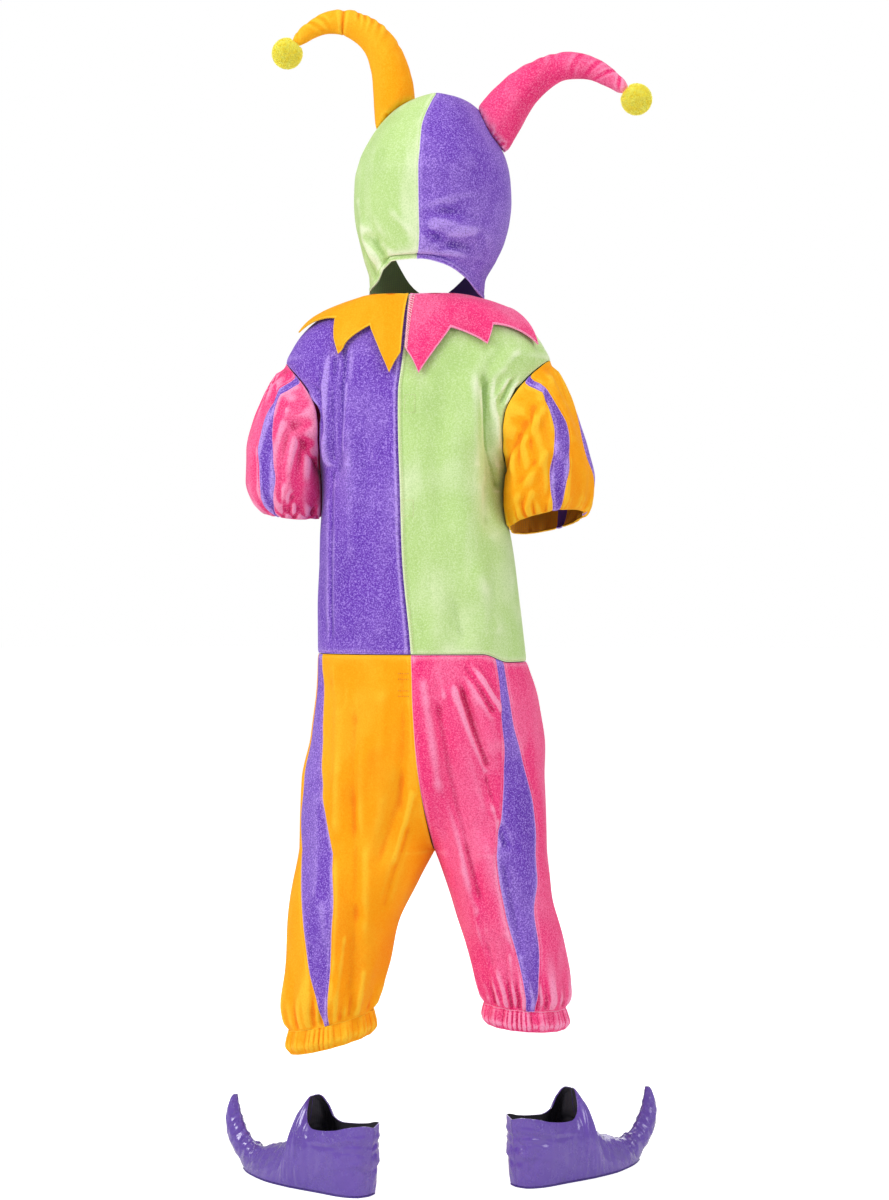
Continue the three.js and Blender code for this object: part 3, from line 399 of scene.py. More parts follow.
def cloth_noise(tree, size, detail, stretch=(1, 1, 1), rough=0.6, bent=0.0):
    """Noise in the cloth's own place, with lumps of a size in millimetres."""
    place = add_node(tree, "ShaderNodeTexCoord").outputs["Object"]
    if stretch != (1, 1, 1):
        place = add_node(tree, "ShaderNodeMapping", {"Vector": place, "Scale": stretch}).outputs[0]
    scale = reckon(tree, "DIVIDE", 1000.0, size)
    settings = {"Vector": place, "Scale": scale, "Detail": detail, "Roughness": rough}
    return add_node(tree, "ShaderNodeTexNoise", {**settings, "Distortion": bent}).outputs[0]


# Velour pile: pale tips and deep roots in a fine speckle, with patches of nap brushed both ways.
# The pale tips, lighter patches and fold ridges are painted highlights and sheen; the deep roots,
# darker patches and fold troughs are painted shade.
velour_pile, pile_in, pile_out = start_group(
    "velour_pile",
    [
        ("Colour", "colour", (0.5, 0.5, 0.5, 1)),
        ("Tip Colour", "colour", (0.7, 0.7, 0.7, 1)),
        ("Pile Shade Colour", "colour", (0.3, 0.3, 0.3, 1)),
        ("Speck Size", "number", 1.6),
        ("Patch Size", "number", 90.0),
        ("Tip Highlights", "number", 0.4),
        ("Root Shade", "number", 0.4),
        ("Patch Sheen And Shade", "number", 0.3),
        ("Fold Light And Shade", "number", 0.5),
    ],
)


def pile_share(word, value, low, high):
    """How strongly one effect of the pile shows as a value goes from low to high."""
    seen = ramp(velour_pile, value, low, high)
    return reckon(velour_pile, "MULTIPLY", seen, pile_in.outputs[word])


# Pointiness finds the fold ridges, painted with a highlight in the tip colour, and the troughs,
# painted with shade.
bend = add_node(velour_pile, "ShaderNodeNewGeometry").outputs["Pointiness"]
ridge_highlight = pile_share("Fold Light And Shade", bend, 0.503, 0.524)
trough_shade = pile_share("Fold Light And Shade", bend, 0.497, 0.472)
speck = cloth_noise(velour_pile, pile_in.outputs["Speck Size"], 3.0, rough=0.7)
fine_size = reckon(velour_pile, "MULTIPLY", pile_in.outputs["Speck Size"], 0.35)
fine = cloth_noise(velour_pile, fine_size, 1.0)
patch = cloth_noise(velour_pile, pile_in.outputs["Patch Size"], 2.0, (1, 1, 0.6), 0.5, 0.5)
brush_sheen_size = reckon(velour_pile, "MULTIPLY", pile_in.outputs["Patch Size"], 0.3)
brush_sheen = cloth_noise(velour_pile, brush_sheen_size, 3.0, (1, 1, 0.25), 0.55, 0.3)
# Pale specks are painted highlights on the pile tips and dark specks painted shade at its roots;
# lit patches and brushed streaks are painted sheen, dark patches painted shade.
tip_highlights = pile_share("Tip Highlights", speck, 0.5, 0.62)
root_shade = pile_share("Root Shade", speck, 0.5, 0.38)
brushed_sheen = reckon(velour_pile, "MULTIPLY", ramp(velour_pile, brush_sheen, 0.5, 0.68), 0.5)
lit_patches = reckon(velour_pile, "ADD", ramp(velour_pile, patch, 0.47, 0.62), brushed_sheen)
light = reckon(velour_pile, "MULTIPLY", lit_patches, pile_in.outputs["Patch Sheen And Shade"])
shade = pile_share("Patch Sheen And Shade", patch, 0.44, 0.3)
coloured = pile_in.outputs["Colour"]
for factor, colour in (
    (light, "Tip Colour"), (shade, "Pile Shade Colour"), (trough_shade, "Pile Shade Colour"),
    (ridge_highlight, "Tip Colour"), (root_shade, "Pile Shade Colour"), (tip_highlights, "Tip Colour"),
):
    coloured = blend_colours(velour_pile, factor, coloured, pile_in.outputs[colour])
pile_height = reckon(velour_pile, "ADD", speck, reckon(velour_pile, "MULTIPLY", fine, 0.5))
pile_rough = ramp(velour_pile, speck, 0.3, 0.7, 0.92, 0.7)
finish_group(velour_pile, pile_out, coloured, pile_rough, pile_height)

# The inside of velour: the smooth ribs of the knit that holds the pile.
knit_back, knit_in, knit_out = start_group(
    "knit_back",
    [("Colour", "colour", (0.5, 0.5, 0.5, 1)), ("Rib Size", "number", 1.1)],
)
rib_scale = reckon(knit_back, "DIVIDE", 160.0, knit_in.outputs["Rib Size"])
knit_place = add_node(knit_back, "ShaderNodeTexCoord").outputs["Object"]
rib_x = add_node(
    knit_back, "ShaderNodeTexWave", {"Vector": knit_place, "Scale": rib_scale}, bands_direction="X",
)
rib_z = add_node(
    knit_back, "ShaderNodeTexWave", {"Vector": knit_place, "Scale": rib_scale}, bands_direction="Z",
)
knit = reckon(knit_back, "MULTIPLY", rib_x.outputs[1], rib_z.outputs[1])
wear = cloth_noise(knit_back, 9.0, 2.0)
# The grooves between the ribs are painted darker, toward grey, as shade.
rib_groove_shade = blend_colours(knit_back, 0.35, knit_in.outputs["Colour"], (0.12, 0.12, 0.12, 1))
knit_shade = ramp(knit_back, knit, 0.0, 0.8, 0.7, 0.0)
knit_colour = blend_colours(knit_back, knit_shade, knit_in.outputs["Colour"], rib_groove_shade)
finish_group(knit_back, knit_out, knit_colour, ramp(knit_back, wear, 0.3, 0.7, 0.75, 0.9), knit)


def make_material(name, group, values, strength, distance, finish=()):
    """A material whose Principled shader takes colour, roughness and bump from a group."""
    made = bpy.data.materials.new(name)
    made.use_nodes = True
    tree = made.node_tree
    shader = tree.nodes["Principled BSDF"]
    for socket, value in dict(finish).items():
        shader.inputs[socket].default_value = value
    effect = tree.nodes.new("ShaderNodeGroup")
    effect.node_tree = group
    for socket, value in values.items():
        effect.inputs[socket].default_value = value
    tree.links.new(effect.outputs["Colour"], shader.inputs["Base Color"])
    tree.links.new(effect.outputs["Roughness"], shader.inputs["Roughness"])
    bump = add_node(tree, "ShaderNodeBump", {
        "Height": effect.outputs["Height"], "Strength": strength, "Distance": distance,
    })
    tree.links.new(bump.outputs[0], shader.inputs["Normal"])
    return made


def velour_pair(word, colour, tip, root, tip_highlights, root_shade, patch_sheen_and_shade, fold_light_and_shade, sheen, sheen_tint):
    """The pile side and the knit side of velour in one colour."""
    # tip is the colour of the painted highlights and root the colour of the painted shade.
    pile_values = {
        "Colour": colour, "Tip Colour": tip, "Pile Shade Colour": root,
        "Tip Highlights": tip_highlights, "Root Shade": root_shade, "Patch Sheen And Shade": patch_sheen_and_shade, "Fold Light And Shade": fold_light_and_shade,
    }
    pile_finish = {
        "Sheen Weight": sheen, "Sheen Roughness": 0.4, "Sheen Tint": sheen_tint,
        "Specular IOR Level": 0.2,
    }
    back_values = {"Colour": tuple(0.8 * c for c in colour[:3]) + (1,)}
    return [
        make_material(f"velour_{word}", velour_pile, pile_values, 0.55, 0.0009, pile_finish),
        make_material(
            f"velour_{word}_inside", knit_back, back_values, 0.4, 0.0004,
            {"Specular IOR Level": 0.2},
        ),
    ]


# Each velour: its colour, a tip colour for painted highlights, a darker colour for painted shade,
# the strengths of speckle, patches and fold light and shade, and its sheen.
PURPLE = velour_pair(
    "purple", (0.16, 0.052, 0.5, 1), (0.58, 0.4, 0.95, 1), (0.06, 0.018, 0.27, 1),
    0.56, 0.52, 0.16, 0.7, 0.32, (0.78, 0.66, 1, 1),
)
GREEN = velour_pair(
    "green", (0.5, 0.71, 0.255, 1), (0.86, 0.93, 0.66, 1), (0.31, 0.5, 0.13, 1),
    0.28, 0.26, 0.34, 0.85, 0.25, (0.97, 1, 0.85, 1),
)

BODICE = table(["z", "middle", "half_width", "half_depth"], [
    [-406, 13, 120, 88],
    [-345, 9, 116, 88],
    [-276, 5, 110, 90],
    [-230, 3, 105, 91],
    [-195, 4, 108, 90],
    [-150, 6, 130, 87],
    [-100, 8, 149, 81],
    [-72, 8, 152, 76],
    [-58, 8, 146, 72],
    [-40, 8, 134, 67],
    [-20, 8, 111, 61],
    [-8, 8, 87, 56],
    [0, 8, 62, 52],
])

BACK_SEAM = table(["z", "x"], [
    [-630, 29],
    [-598, 24],
    [-529, 17],
    [-460, 12.5],
    [-406, 10.5],
    [-299, 1],
    [-230, -1],
    [-115, -4.5],
    [-80, -1],
    [-40, 2.5],
    [0, 3.5],
])

# face, x0, z0, x1, z1, width, height
BODICE_CREASES = [
    [-1, -70, -60, -76, -205, 8, -5],
    [-1, -85, -95, -88, -190, 8, 4],
    [-1, -98, -110, -90, -160, 6, -3],
    [-1, -50, -380, -58, -406, 9, -2.5],
    [-1, -22, -330, -30, -406, 12, 2],
    [-1, 92, -95, 96, -265, 8, -6],
    [-1, 80, -90, 82, -230, 10, 3.5],
    [-1, 110, -96, 106, -135, 6, -3],
    [-1, 60, -350, 72, -410, 10, -2.5],
    [-1, 38, -340, 40, -406, 12, 2],
    [1, -72, -85, -76, -220, 9, -5],
    [1, 88, -90, 92, -250, 9, -5],
    [1, -40, -340, -45, -406, 12, -2.5],
    [1, 45, -350, 52, -410, 12, -2.5],
]

# Finer folds beside the armholes, at the waist and under the shoulder blades.
BODICE_FOLDS = [
    [-1, -81, -72, -83, -188, 3.2, -3.6],
    [-1, -88, -80, -89.5, -190, 3.4, 2],
    [-1, -83, -200, -83, -396, 2.6, -1.7],
    [-1, -88.5, -230, -88, -396, 3.4, 1.2],
    [-1, -106, -101, -95, -114, 2.6, -2.4],
    [-1, -110, -112, -98, -126, 2.8, 1.9],
    [-1, -104, -124, -97, -142, 2.6, -1.8],
    [-1, -66, -100, -68, -180, 3.4, 1.3],
    [-1, -60, -150, -58, -300, 9, 3],
    [-1, -44, -130, -42, -250, 8, -2],
    [-1, -70, -290, -66, -390, 10, 2],
    [-1, -30, -90, -36, -200, 9, 1.2],
    [-1, -46, -240, -40, -330, 10, -1.2],
    [-1, -80, -270, -74, -370, 8, 1.4],
    [-1, -100, -300, -92, -385, 6, -1.3],
    [-1, 95.4, -104, 98.3, -174, 3.4, -5],
    [-1, 98.3, -174, 104.3, -218, 3, -3],
    [-1, 89, -104, 91.5, -214, 4.4, 2.2],
    [-1, 103.5, -120, 106.5, -176, 3.2, 1.8],
    [-1, 122.3, -98, 111.8, -124, 2.8, -3.4],
    [-1, 128.2, -104, 120.7, -124, 2.4, -2.4],
    [-1, 126, -101, 116, -124, 2.2, 1.8],
    [-1, 117, -98, 106, -118, 2.6, 1.6],
    [-1, 128, -62, 106, -94, 6, 1.8],
    [-1, 112, -60, 96, -88, 6, -1.6],
    [-1, 60, -150, 82, -340, 15, 4.6],
    [-1, 40, -120, 46, -260, 12, -2.4],
    [-1, 82, -320, 106, -392, 12, 3.8],
    [-1, 60, -340, 72, -400, 9, -2],
    [-1, 104, -290, 98, -380, 6, -1.5],
    [-1, 84, -300, 90, -390, 9, 1.3],
    [-1, 22, -370, 26, -404, 6, -1],
    [1, -98, -95, -92, -160, 5, 1.8],
    [1, 104, -95, 100, -170, 5, 1.8],
    [1, -20, -120, -24, -240, 14, 1.4],
    [1, 34, -130, 38, -260, 14, -1.4],
    [1, -80, -280, -76, -380, 8, 1.6],
    [1, 84, -280, 88, -380, 8, -1.6],
]


def waist_shift(angle, z):
    reach = smooth(WAIST_DROP_FROM, WAIST_DROP_FULL, np.sin(angle))
    return -WAIST_DROP * reach * (1 - smooth(0, WAIST_DROP_FADE, np.abs(z - WAIST)))


def bodice_point(angle, z):
    front = np.maximum(0, -np.cos(angle))
    drop = NECK_FRONT_DROP * front**1.5 * smooth(-75, 0, z)
    middle, half_width, half_depth = read_row(BODICE, z, "middle", "half_width", "half_depth")
    level = z - drop + waist_shift(angle, z)
    p = oval_point(middle, 0, half_width, half_depth, BODY_POWER, angle, level)
    swell = drape(p, 34, 0.45) * smooth(0, 40, np.abs(p[..., 2] - WAIST))
    height = crease_height(BODICE_CREASES, p) + crease_height(BODICE_FOLDS, p) + swell
    return push_out(p, middle, 0, height)


def back_angle(rows, x, z):
    """The angle round the body at which its back has a given x."""
    offset = (x - read_at(rows, "middle", z)) / read_at(rows, "half_width", z)
    return np.sign(offset) * np.arcsin(np.abs(offset) ** (BODY_POWER / 2))


def seam_angle(rows, z):
    return back_angle(rows, read_at(BACK_SEAM, "x", z), z)


def armhole_angle(z):
    middle = (SHOULDER + ARMPIT) / 2
    rise = np.clip((z - middle) / ((SHOULDER - ARMPIT) / 2), -1, 1)
    depth = ARMHOLE_HALF_DEPTH * np.sqrt(1 - rise * rise)
    return np.arccos((depth / read_at(BODICE, "half_depth", z)) ** (BODY_POWER / 2))


def back_left_point(angle, z):
    past = (angle - seam_angle(BODICE, z)) * read_at(BODICE, "half_width", z)
    drop = -LAP_DROP * smooth(-4, -0.5, past)
    return push_out(bodice_point(angle, z), read_at(BODICE, "middle", z), 0, drop)


def bodice_rows():
    below = np.linspace(WAIST + WAIST_GAP, ARMPIT, 64)
    turn = np.linspace(0, math.pi, 40)
    hole = (SHOULDER + ARMPIT) / 2 - (SHOULDER - ARMPIT) / 2 * np.cos(turn)
    above = np.linspace(SHOULDER, NECK, 26)
    near = WAIST + WAIST_GAP + ROWS_BY_SEAM
    return np.sort(np.concatenate([below, near, hole[1:], above[1:]]))


def back_left_spot(u, z):
    edge = seam_angle(BODICE, z)
    lapped = edge + (u - 1) * LAP / read_at(BODICE, "half_width", z)
    return np.where(u > 1, lapped, mix(-armhole_angle(z), edge, np.minimum(u, 1))), z


def back_right_spot(u, z):
    return mix(seam_angle(BODICE, z), armhole_angle(z), u), z


def front_left_spot(u, z):
    return mix(-math.pi, armhole_angle(z) - math.pi, u), z


def front_right_spot(u, z):
    return mix(math.pi - armhole_angle(z), math.pi, u), z


def overlocked(u, v, p, edges):
    """The right back's loose middle edge: a flat band under its overlock thread."""
    return 0.35 * bell(edges[0] - 2, 1.4) - 0.3 * bell(edges[0] - 5, 1)


across_back = seam_lines(150, 92)
lapped_columns = np.concatenate([across_back, np.linspace(1.15, 2, 6)])
BODICE_PANELS = [
    # node, surface, spot, columns, cloth, slot, seams, relief, flat, area, rests on
    ["back_left", back_left_point, back_left_spot, lapped_columns, PURPLE, "velour_purple",
     (0.9, 0, 0.9, 0), None, (0.19, 0.42), 0.0662, ["back_right", "front_left"]],
    ["back_right", bodice_point, back_right_spot, across_back, GREEN, "velour_green",
     (0, 0.9, 0.9, 0), overlocked, (0.19, 0.42), 0.0657, ["back_left", "front_right"]],
    ["front_left", bodice_point, front_left_spot, seam_lines(150, 42), PURPLE, "velour_purple",
     (0.9, 0.9, 0.9, 0), None, (0.18, 0.42), 0.0598, ["back_left"]],
    ["front_right", bodice_point, front_right_spot, seam_lines(150, 42), GREEN, "velour_green",
     (0.9, 0.9, 0.9, 0), None, (0.18, 0.42), 0.0604, ["back_right"]],
]
for node, surface, spot, columns, cloth, slot, seams, relief, flat, area, rests in BODICE_PANELS:
    panel = lay_cloth(
        f"{node}_velour", surface, spot, columns, bodice_rows(), VELOUR, cloth,
        seams=seams, relief=relief,
    )
    dress(panel, node, slot, flat, area, rests)

# Collar.
# Two jagged half rings of velour, orange on the left and pink on the right, with five points
# each. They are sewn to the neck edge and lie loose on the shoulders.

COLLAR_LIFT = 3.2
COLLAR_FLARE = 3
NECK_RADIUS = 60

# Tip colours here are the colours of painted highlights and the darker colours those of painted
# shade.
ORANGE = velour_pair(
    "orange", (1.0, 0.37, 0.0, 1), (1.0, 0.56, 0.03, 1), (0.92, 0.22, 0.0, 1),
    0.24, 0.22, 0.3, 0.85, 0.04, (1, 0.75, 0.05, 1),
)
PINK = velour_pair(
    "pink", (0.92, 0.034, 0.2, 1), (1.0, 0.34, 0.55, 1), (0.56, 0.006, 0.09, 1),
    0.38, 0.4, 0.24, 0.95, 0.2, (1, 0.6, 0.8, 1),
)

COLLAR_RIGHT = table(["angle", "reach"], [
    [-1.4, 68],
    [3.2, 98],
    [17.2, 51],
    [33.2, 82],
    [41, 63],
    [67.5, 102],
    [90, 45],
    [112, 88],
    [134, 42],
    [157, 92],
    [180, 44],
])

COLLAR_LEFT = table(["angle", "reach"], [
    [2.8, 74],
    [7, 98],
    [17.8, 48],
    [31.8, 90],
    [43, 52],
    [74, 84],
    [95, 44],
    [115, 86],
    [137, 42],
    [158, 92],
    [180, 44],
])

# The height at which a line down the bodice from the neck reaches each length, by angle.
REACH_ANGLES = np.arange(-192, 193) * RADIAN
REACH_HEIGHTS = np.arange(0, 131) * -1.0
REACH_LENGTHS = np.arange(0, 112) * 1.0
walk = bodice_point(*np.meshgrid(REACH_ANGLES, REACH_HEIGHTS, indexing="ij"))
walked = np.cumsum(np.linalg.norm(np.diff(walk, axis=1), axis=2), axis=1)
walked = np.concatenate([np.zeros((len(walked), 1)), walked], axis=1)
REACHED = np.array([np.interp(REACH_LENGTHS, row, REACH_HEIGHTS) for row in walked])


def height_at_reach(angle, reach):
    i = (angle - REACH_ANGLES[0]) / RADIAN
    low = np.clip(i.astype(int), 0, len(REACH_ANGLES) - 2)
    reach = np.clip(reach, 0, REACH_LENGTHS[-1] - 1e-6)
    j = reach.astype(int)
    f, g = i - low, reach - j
    near = mix(REACHED[low, j], REACHED[low, j + 1], g)
    far = mix(REACHED[low + 1, j], REACHED[low + 1, j + 1], g)
    return mix(near, far, f)


def point_reach(reaches, degrees):
    """The collar's reach at an angle, with a straight edge from each corner to the next."""
    corners, reach = reaches["angle"], reaches["reach"]
    i = np.clip(np.searchsorted(corners, degrees) - 1, 0, len(corners) - 2)
    whole = np.sin((corners[i + 1] - corners[i]) * RADIAN)
    to_end = np.sin((corners[i + 1] - degrees) * RADIAN) / whole
    to_start = np.sin((degrees - corners[i]) * RADIAN) / whole
    near, far = NECK_RADIUS + reach[i], NECK_RADIUS + reach[i + 1]
    return 1 / (to_end / near + to_start / far) - NECK_RADIUS


def collar_surface(side, reaches):
    def point(around, t):
        angle = around * side
        reach = point_reach(reaches, around / RADIAN)
        z = height_at_reach(angle, np.maximum(0, 1 - t) * reach)
        lift = COLLAR_LIFT + COLLAR_FLARE * (1 - t) ** 2
        lift = lift + 0.8 * (1 - t) * np.sin(around * 9 + 1.2) * np.sin(t * 2.4)
        normal = outward_normal(bodice_point, angle, z, 1e-3, 0.5)
        return bodice_point(angle, z) + normal * lift[..., None]

    return point


def collar_edge(u, v, p, edges):
    """The stitched edge all round, a little proud of the cloth, with a dip inside it."""
    free = np.minimum(np.minimum(edges[0], edges[1]), edges[2])
    return 0.3 * bell(free - 1.5, 1.3) - 0.25 * bell(free - 4, 0.9)


COLLARS = [
    ["collar_left", -1, COLLAR_LEFT, ORANGE, "velour_orange", 0.0172, "back_left"],
    ["collar_right", 1, COLLAR_RIGHT, PINK, "velour_pink", 0.0190, "back_right"],
]
for node, side, reaches, cloth, slot, area, under in COLLARS:
    corners = reaches["angle"]
    columns = [np.linspace(a, b, 13)[:-1] for a, b in zip(corners[:-1], corners[1:])]
    collar = lay_cloth(
        f"{node}_velour", collar_surface(side, reaches), lambda degrees, t: (degrees * RADIAN, t),
        np.concatenate([*columns, corners[-1:]]), seam_lines(60, 26), VELOUR, cloth,
        turn=side, rise=0.02, seams=(0, 0, 0, 0.5), relief=collar_edge,
    )
    dress(collar, node, slot, (0.26, 0.17), area, [under])

# Sleeves.
# Puffed tubes gathered into the armholes and by elastic at the hem. Each is four velour
# panels with three leaf-shaped purple strips let in between them.

ARMHOLE_GAP = 1.2
SLEEVE_GATHERS = 14
SLEEVE_CLEAR = 2
SLEEVE_COLUMNS = [
    "row", "out_x", "out_z", "in_x", "in_z", "mid_y", "half_depth", "back_z", "gather",
]

SLEEVE_LEFT = table(SLEEVE_COLUMNS, [
    [0.00, 163, -246, 98, -250, -6, 36, -5, 1.0],
    [0.06, 169, -242, 98, -246, -6, 42, -5, 2.4],
    [0.16, 181, -231, 98, -241, -5, 52, -5, 2.2],
    [0.32, 190, -207, 98, -233, -5, 63, -4, 1.4],
    [0.50, 190, -174, 98, -222, -4, 69, -3, 0.9],
    [0.68, 181, -138, 99, -213, -3, 71, -2, 1.4],
    [0.84, 166, -106, 102, -205, -2, 70, 0, 2.2],
    [0.94, 153, -85, 104, -199, -1, 65, 0, 1.4],
    [1.00, 144, -72, 104, -195, 0, 58, 0, 0],
])

SLEEVE_RIGHT = table(SLEEVE_COLUMNS, [
    [0.00, 200, -247, 113, -266, -8, 40, 9, 1.0],
    [0.06, 204, -242, 111, -262, -8, 46, 8, 2.4],
    [0.16, 209, -230, 109, -252, -7, 55, 6, 2.2],
    [0.32, 211, -207, 107, -238, -6, 64, 4, 1.4],
    [0.50, 205, -176, 107, -226, -5, 69, 2, 0.9],
    [0.68, 193, -141, 108, -216, -3, 71, 0, 1.4],
    [0.84, 179, -108, 110, -207, -2, 70, 0, 2.2],
    [0.94, 168, -85, 112, -200, -1, 65, 0, 1.4],
    [1.00, 160, -72, 112, -195, 0, 58, 0, 0],
])

# Each strip's middle angle and its half width, in degrees, from hem to armhole.
STRIP_COLUMNS = ["row", "angle", "half"]

STRIP_LEFT_BACK = table(STRIP_COLUMNS, [
    [0, 36, 7],
    [0.06, 34, 8.5],
    [0.16, 26, 9.5],
    [0.3, 15.5, 10.6],
    [0.45, 14, 13],
    [0.6, 19, 12.3],
    [0.73, 26.5, 9.4],
    [0.85, 32, 6.5],
    [0.93, 38, 5],
    [1, 44, 4],
])

STRIP_LEFT_OUTER = table(STRIP_COLUMNS, [
    [0, 92, 5],
    [0.5, 103, 10],
    [1, 100, 4],
])

STRIP_RIGHT_BACK = table(STRIP_COLUMNS, [
    [0, 17.5, 5.5],
    [0.16, 16, 7.2],
    [0.3, 16.5, 9.4],
    [0.45, 22, 12.3],
    [0.6, 32.5, 12.3],
    [0.73, 39, 9.5],
    [0.85, 38.5, 6.5],
    [0.93, 37.5, 5],
    [1, 40, 3.6],
])

STRIP_RIGHT_OUTER = table(STRIP_COLUMNS, [
    [0, 100, 5],
    [0.3, 92, 9],
    [0.5, 83, 12],
    [0.7, 92, 9],
    [1, 98, 4],
])


def in_front(strip):
    """The front strip lies as the back one does, on the other side of the outer strip."""
    return {**strip, "angle": 180 - strip["angle"]}


STRIPS_LEFT = [STRIP_LEFT_BACK, STRIP_LEFT_OUTER, in_front(STRIP_LEFT_BACK)]
STRIPS_RIGHT = [STRIP_RIGHT_BACK, STRIP_RIGHT_OUTER, in_front(STRIP_RIGHT_BACK)]

# face, x0, z0, x1, z1, width, height
SLEEVE_FOLDS = [
    [-1, 170, -172, 125, -234, 6, 3.4],
    [-1, 166, -174, 163, -232, 4, -2.6],
    [-1, 158, -131, 139, -168, 4.6, 2.4],
    [-1, 148, -128, 130, -167, 4, -2.2],
    [-1, 136, -246, 145, -224, 4, 2.2],
    [-1, 187, -186, 181, -236, 5, 1.8],
    [-1, 178, -120, 190, -170, 5, 1.6],
    [-1, 150, -190, 128, -216, 4, -1.8],
    [-1, 124, -140, 120, -200, 5, 1.4],
    [-1, -124, -99, -133, -134, 3.8, 2.6],
    [-1, -118, -104, -124, -134, 3.6, -2.2],
    [-1, -112, -252, -100, -236, 3.4, -3],
    [-1, -102, -242, -97, -224, 3.8, 2.6],
    [-1, -132, -245, -126, -226, 3.4, -2.6],
    [-1, -140, -240, -136, -215, 4, 2],
    [-1, -112, -170, -108, -225, 6, 1.8],
    [-1, -150, -130, -166, -180, 5, 1.8],
    [1, 160, -130, 140, -200, 6, 2.4],
    [1, 176, -160, 170, -230, 5, -2.2],
    [1, -140, -120, -132, -190, 6, 2.2],
    [1, -160, -150, -152, -220, 5, -2.2],
]


def bodice_side(side, y, z):
    half_depth = read_at(BODICE, "half_depth", z)
    inside = np.maximum(0, 1 - np.abs(y / half_depth) ** BODY_POWER) ** (1 / BODY_POWER)
    return read_at(BODICE, "middle", z) + side * read_at(BODICE, "half_width", z) * inside


def sleeve_surface(side, rings):
    def point(around, row):
        s, c = np.sin(around), np.cos(around)
        out_x, out_z, in_x, in_z = read_row(rings, row, "out_x", "out_z", "in_x", "in_z")
        wobble = SLEEVE_GATHERS * around + 0.9 * np.sin(2 * around)
        wave = np.sin(wobble) * (0.75 + 0.25 * np.sin(3 * around + row * 4))
        wave = wave * read_at(rings, "gather", row)
        half_width = (out_x - in_x) / 2 + wave
        half_height = (out_z - in_z) / 2 + wave * smooth(0.4, 0.9, row)
        y = read_at(rings, "mid_y", row) - (read_at(rings, "half_depth", row) + wave) * c
        z = (out_z + in_z) / 2 + half_height * s + read_at(rings, "back_z", row) * c
        free = side * ((out_x + in_x) / 2 + half_width * s)
        gap = mix(SLEEVE_CLEAR, ARMHOLE_GAP, smooth(0.9, 1, row))
        wall = bodice_side(side, y, np.minimum(z, SHOULDER)) + side * gap
        at_hole = mix(free, wall, smooth(0.93, 1, row))
        x = side * np.maximum(side * at_hole, side * wall)
        return np.stack([x, y, z], axis=-1)

    return point


def sleeve_ranges(strips):
    """The sleeve's pieces in order around it, each with its edges as angles at a row."""
    back, outer, front = strips

    def edge(strip, sign):
        return lambda row: read_at(strip, "angle", row) + sign * read_at(strip, "half", row)

    return [
        ("back_inner", lambda row: -90 + 0 * row, edge(back, -1), 75),
        ("back_strip", edge(back, -1), edge(back, 1), 0),
        ("back_outer", edge(back, 1), edge(outer, -1), 75),
        ("outer_strip", edge(outer, -1), edge(outer, 1), 0),
        ("front_outer", edge(outer, 1), edge(front, -1), 75),
        ("front_strip", edge(front, -1), edge(front, 1), 0),
        ("front_inner", edge(front, 1), lambda row: 270 + 0 * row, 60),
    ]


def gathered_sleeve(side):
    """Folds where they show, and pleats that fan out from the armhole and the elastic hem."""

    def relief(u, row, p, edges):
        x, y, z = p[..., 0] - side * 150, p[..., 1], p[..., 2] + 165
        around = np.arctan2(side * x, -y)
        spread = 21 * around + 1.7 * np.sin(2 * around + side) + 1.2 * np.sin(5 * around + 1)
        pleat = 2 * np.abs(np.sin(spread / 2)) ** 0.8 - 1
        at_hem = smooth(0, 0.04, row) * (1 - smooth(0.05, 0.3, row))
        at_hem = at_hem * (0.6 + 0.4 * np.sin(3 * around + 2 * side))
        at_hole = smooth(0.66, 0.9, row) * (1 - smooth(0.95, 1, row))
        at_hole = at_hole * (0.55 + 0.45 * np.sin(4 * around + 1 + side))
        wall = bodice_side(side, y, np.minimum(p[..., 2], SHOULDER))
        free = smooth(2, 12, side * (p[..., 0] - wall))
        height = pleat * (2.2 * at_hem + 1.3 * at_hole) + crease_height(SLEEVE_FOLDS, p)
        return (height + drape(p, 22, 0.4)) * free * (1 - smooth(0.94, 1, row))

    return relief


# What each piece was cut from: width and length in metres, and its area in square metres.
SLEEVE_CUTS = {
    "left": [
        (0.08, 0.19, 0.0105), (0.022, 0.19, 0.0029), (0.09, 0.19, 0.0124), (0.026, 0.2, 0.0036),
        (0.065, 0.18, 0.0075), (0.024, 0.17, 0.0027), (0.075, 0.18, 0.0098),
    ],
    "right": [
        (0.085, 0.19, 0.0115), (0.024, 0.18, 0.0029), (0.075, 0.19, 0.0095), (0.028, 0.2, 0.0038),
        (0.075, 0.19, 0.0095), (0.026, 0.18, 0.0031), (0.085, 0.19, 0.012),
    ],
}
SLEEVES = [
    ("left", -1, SLEEVE_LEFT, STRIPS_LEFT, PINK, "velour_pink"),
    ("right", 1, SLEEVE_RIGHT, STRIPS_RIGHT, ORANGE, "velour_orange"),
]
sleeve_rows = seam_lines(190, 62)
for word, side, rings, strips, cloth, slot in SLEEVES:
    surface = sleeve_surface(side, rings)
    cuts = SLEEVE_CUTS[word]
    for (panel_word, start, end, width), (cut, length, area) in zip(sleeve_ranges(strips), cuts):
        node = f"sleeve_{word}_{panel_word}"
        columns = seam_lines(width, 44) if width else seam_lines(22, 12, ROWS_BY_SEAM)
        panel = lay_cloth(
            f"{node}_velour", surface,
            lambda u, row: (mix(start(row), end(row), u) * RADIAN, row),
            columns, sleeve_rows, VELOUR, cloth if width else PURPLE,
            turn=side, rise=0.03, seams=(0.8, 0.8, 0.3, 0.8), relief=gathered_sleeve(side),
        )
        panel_slot = slot if width else "velour_purple"
        dress(panel, node, panel_slot, (cut, length), area, [f"back_{word}"])

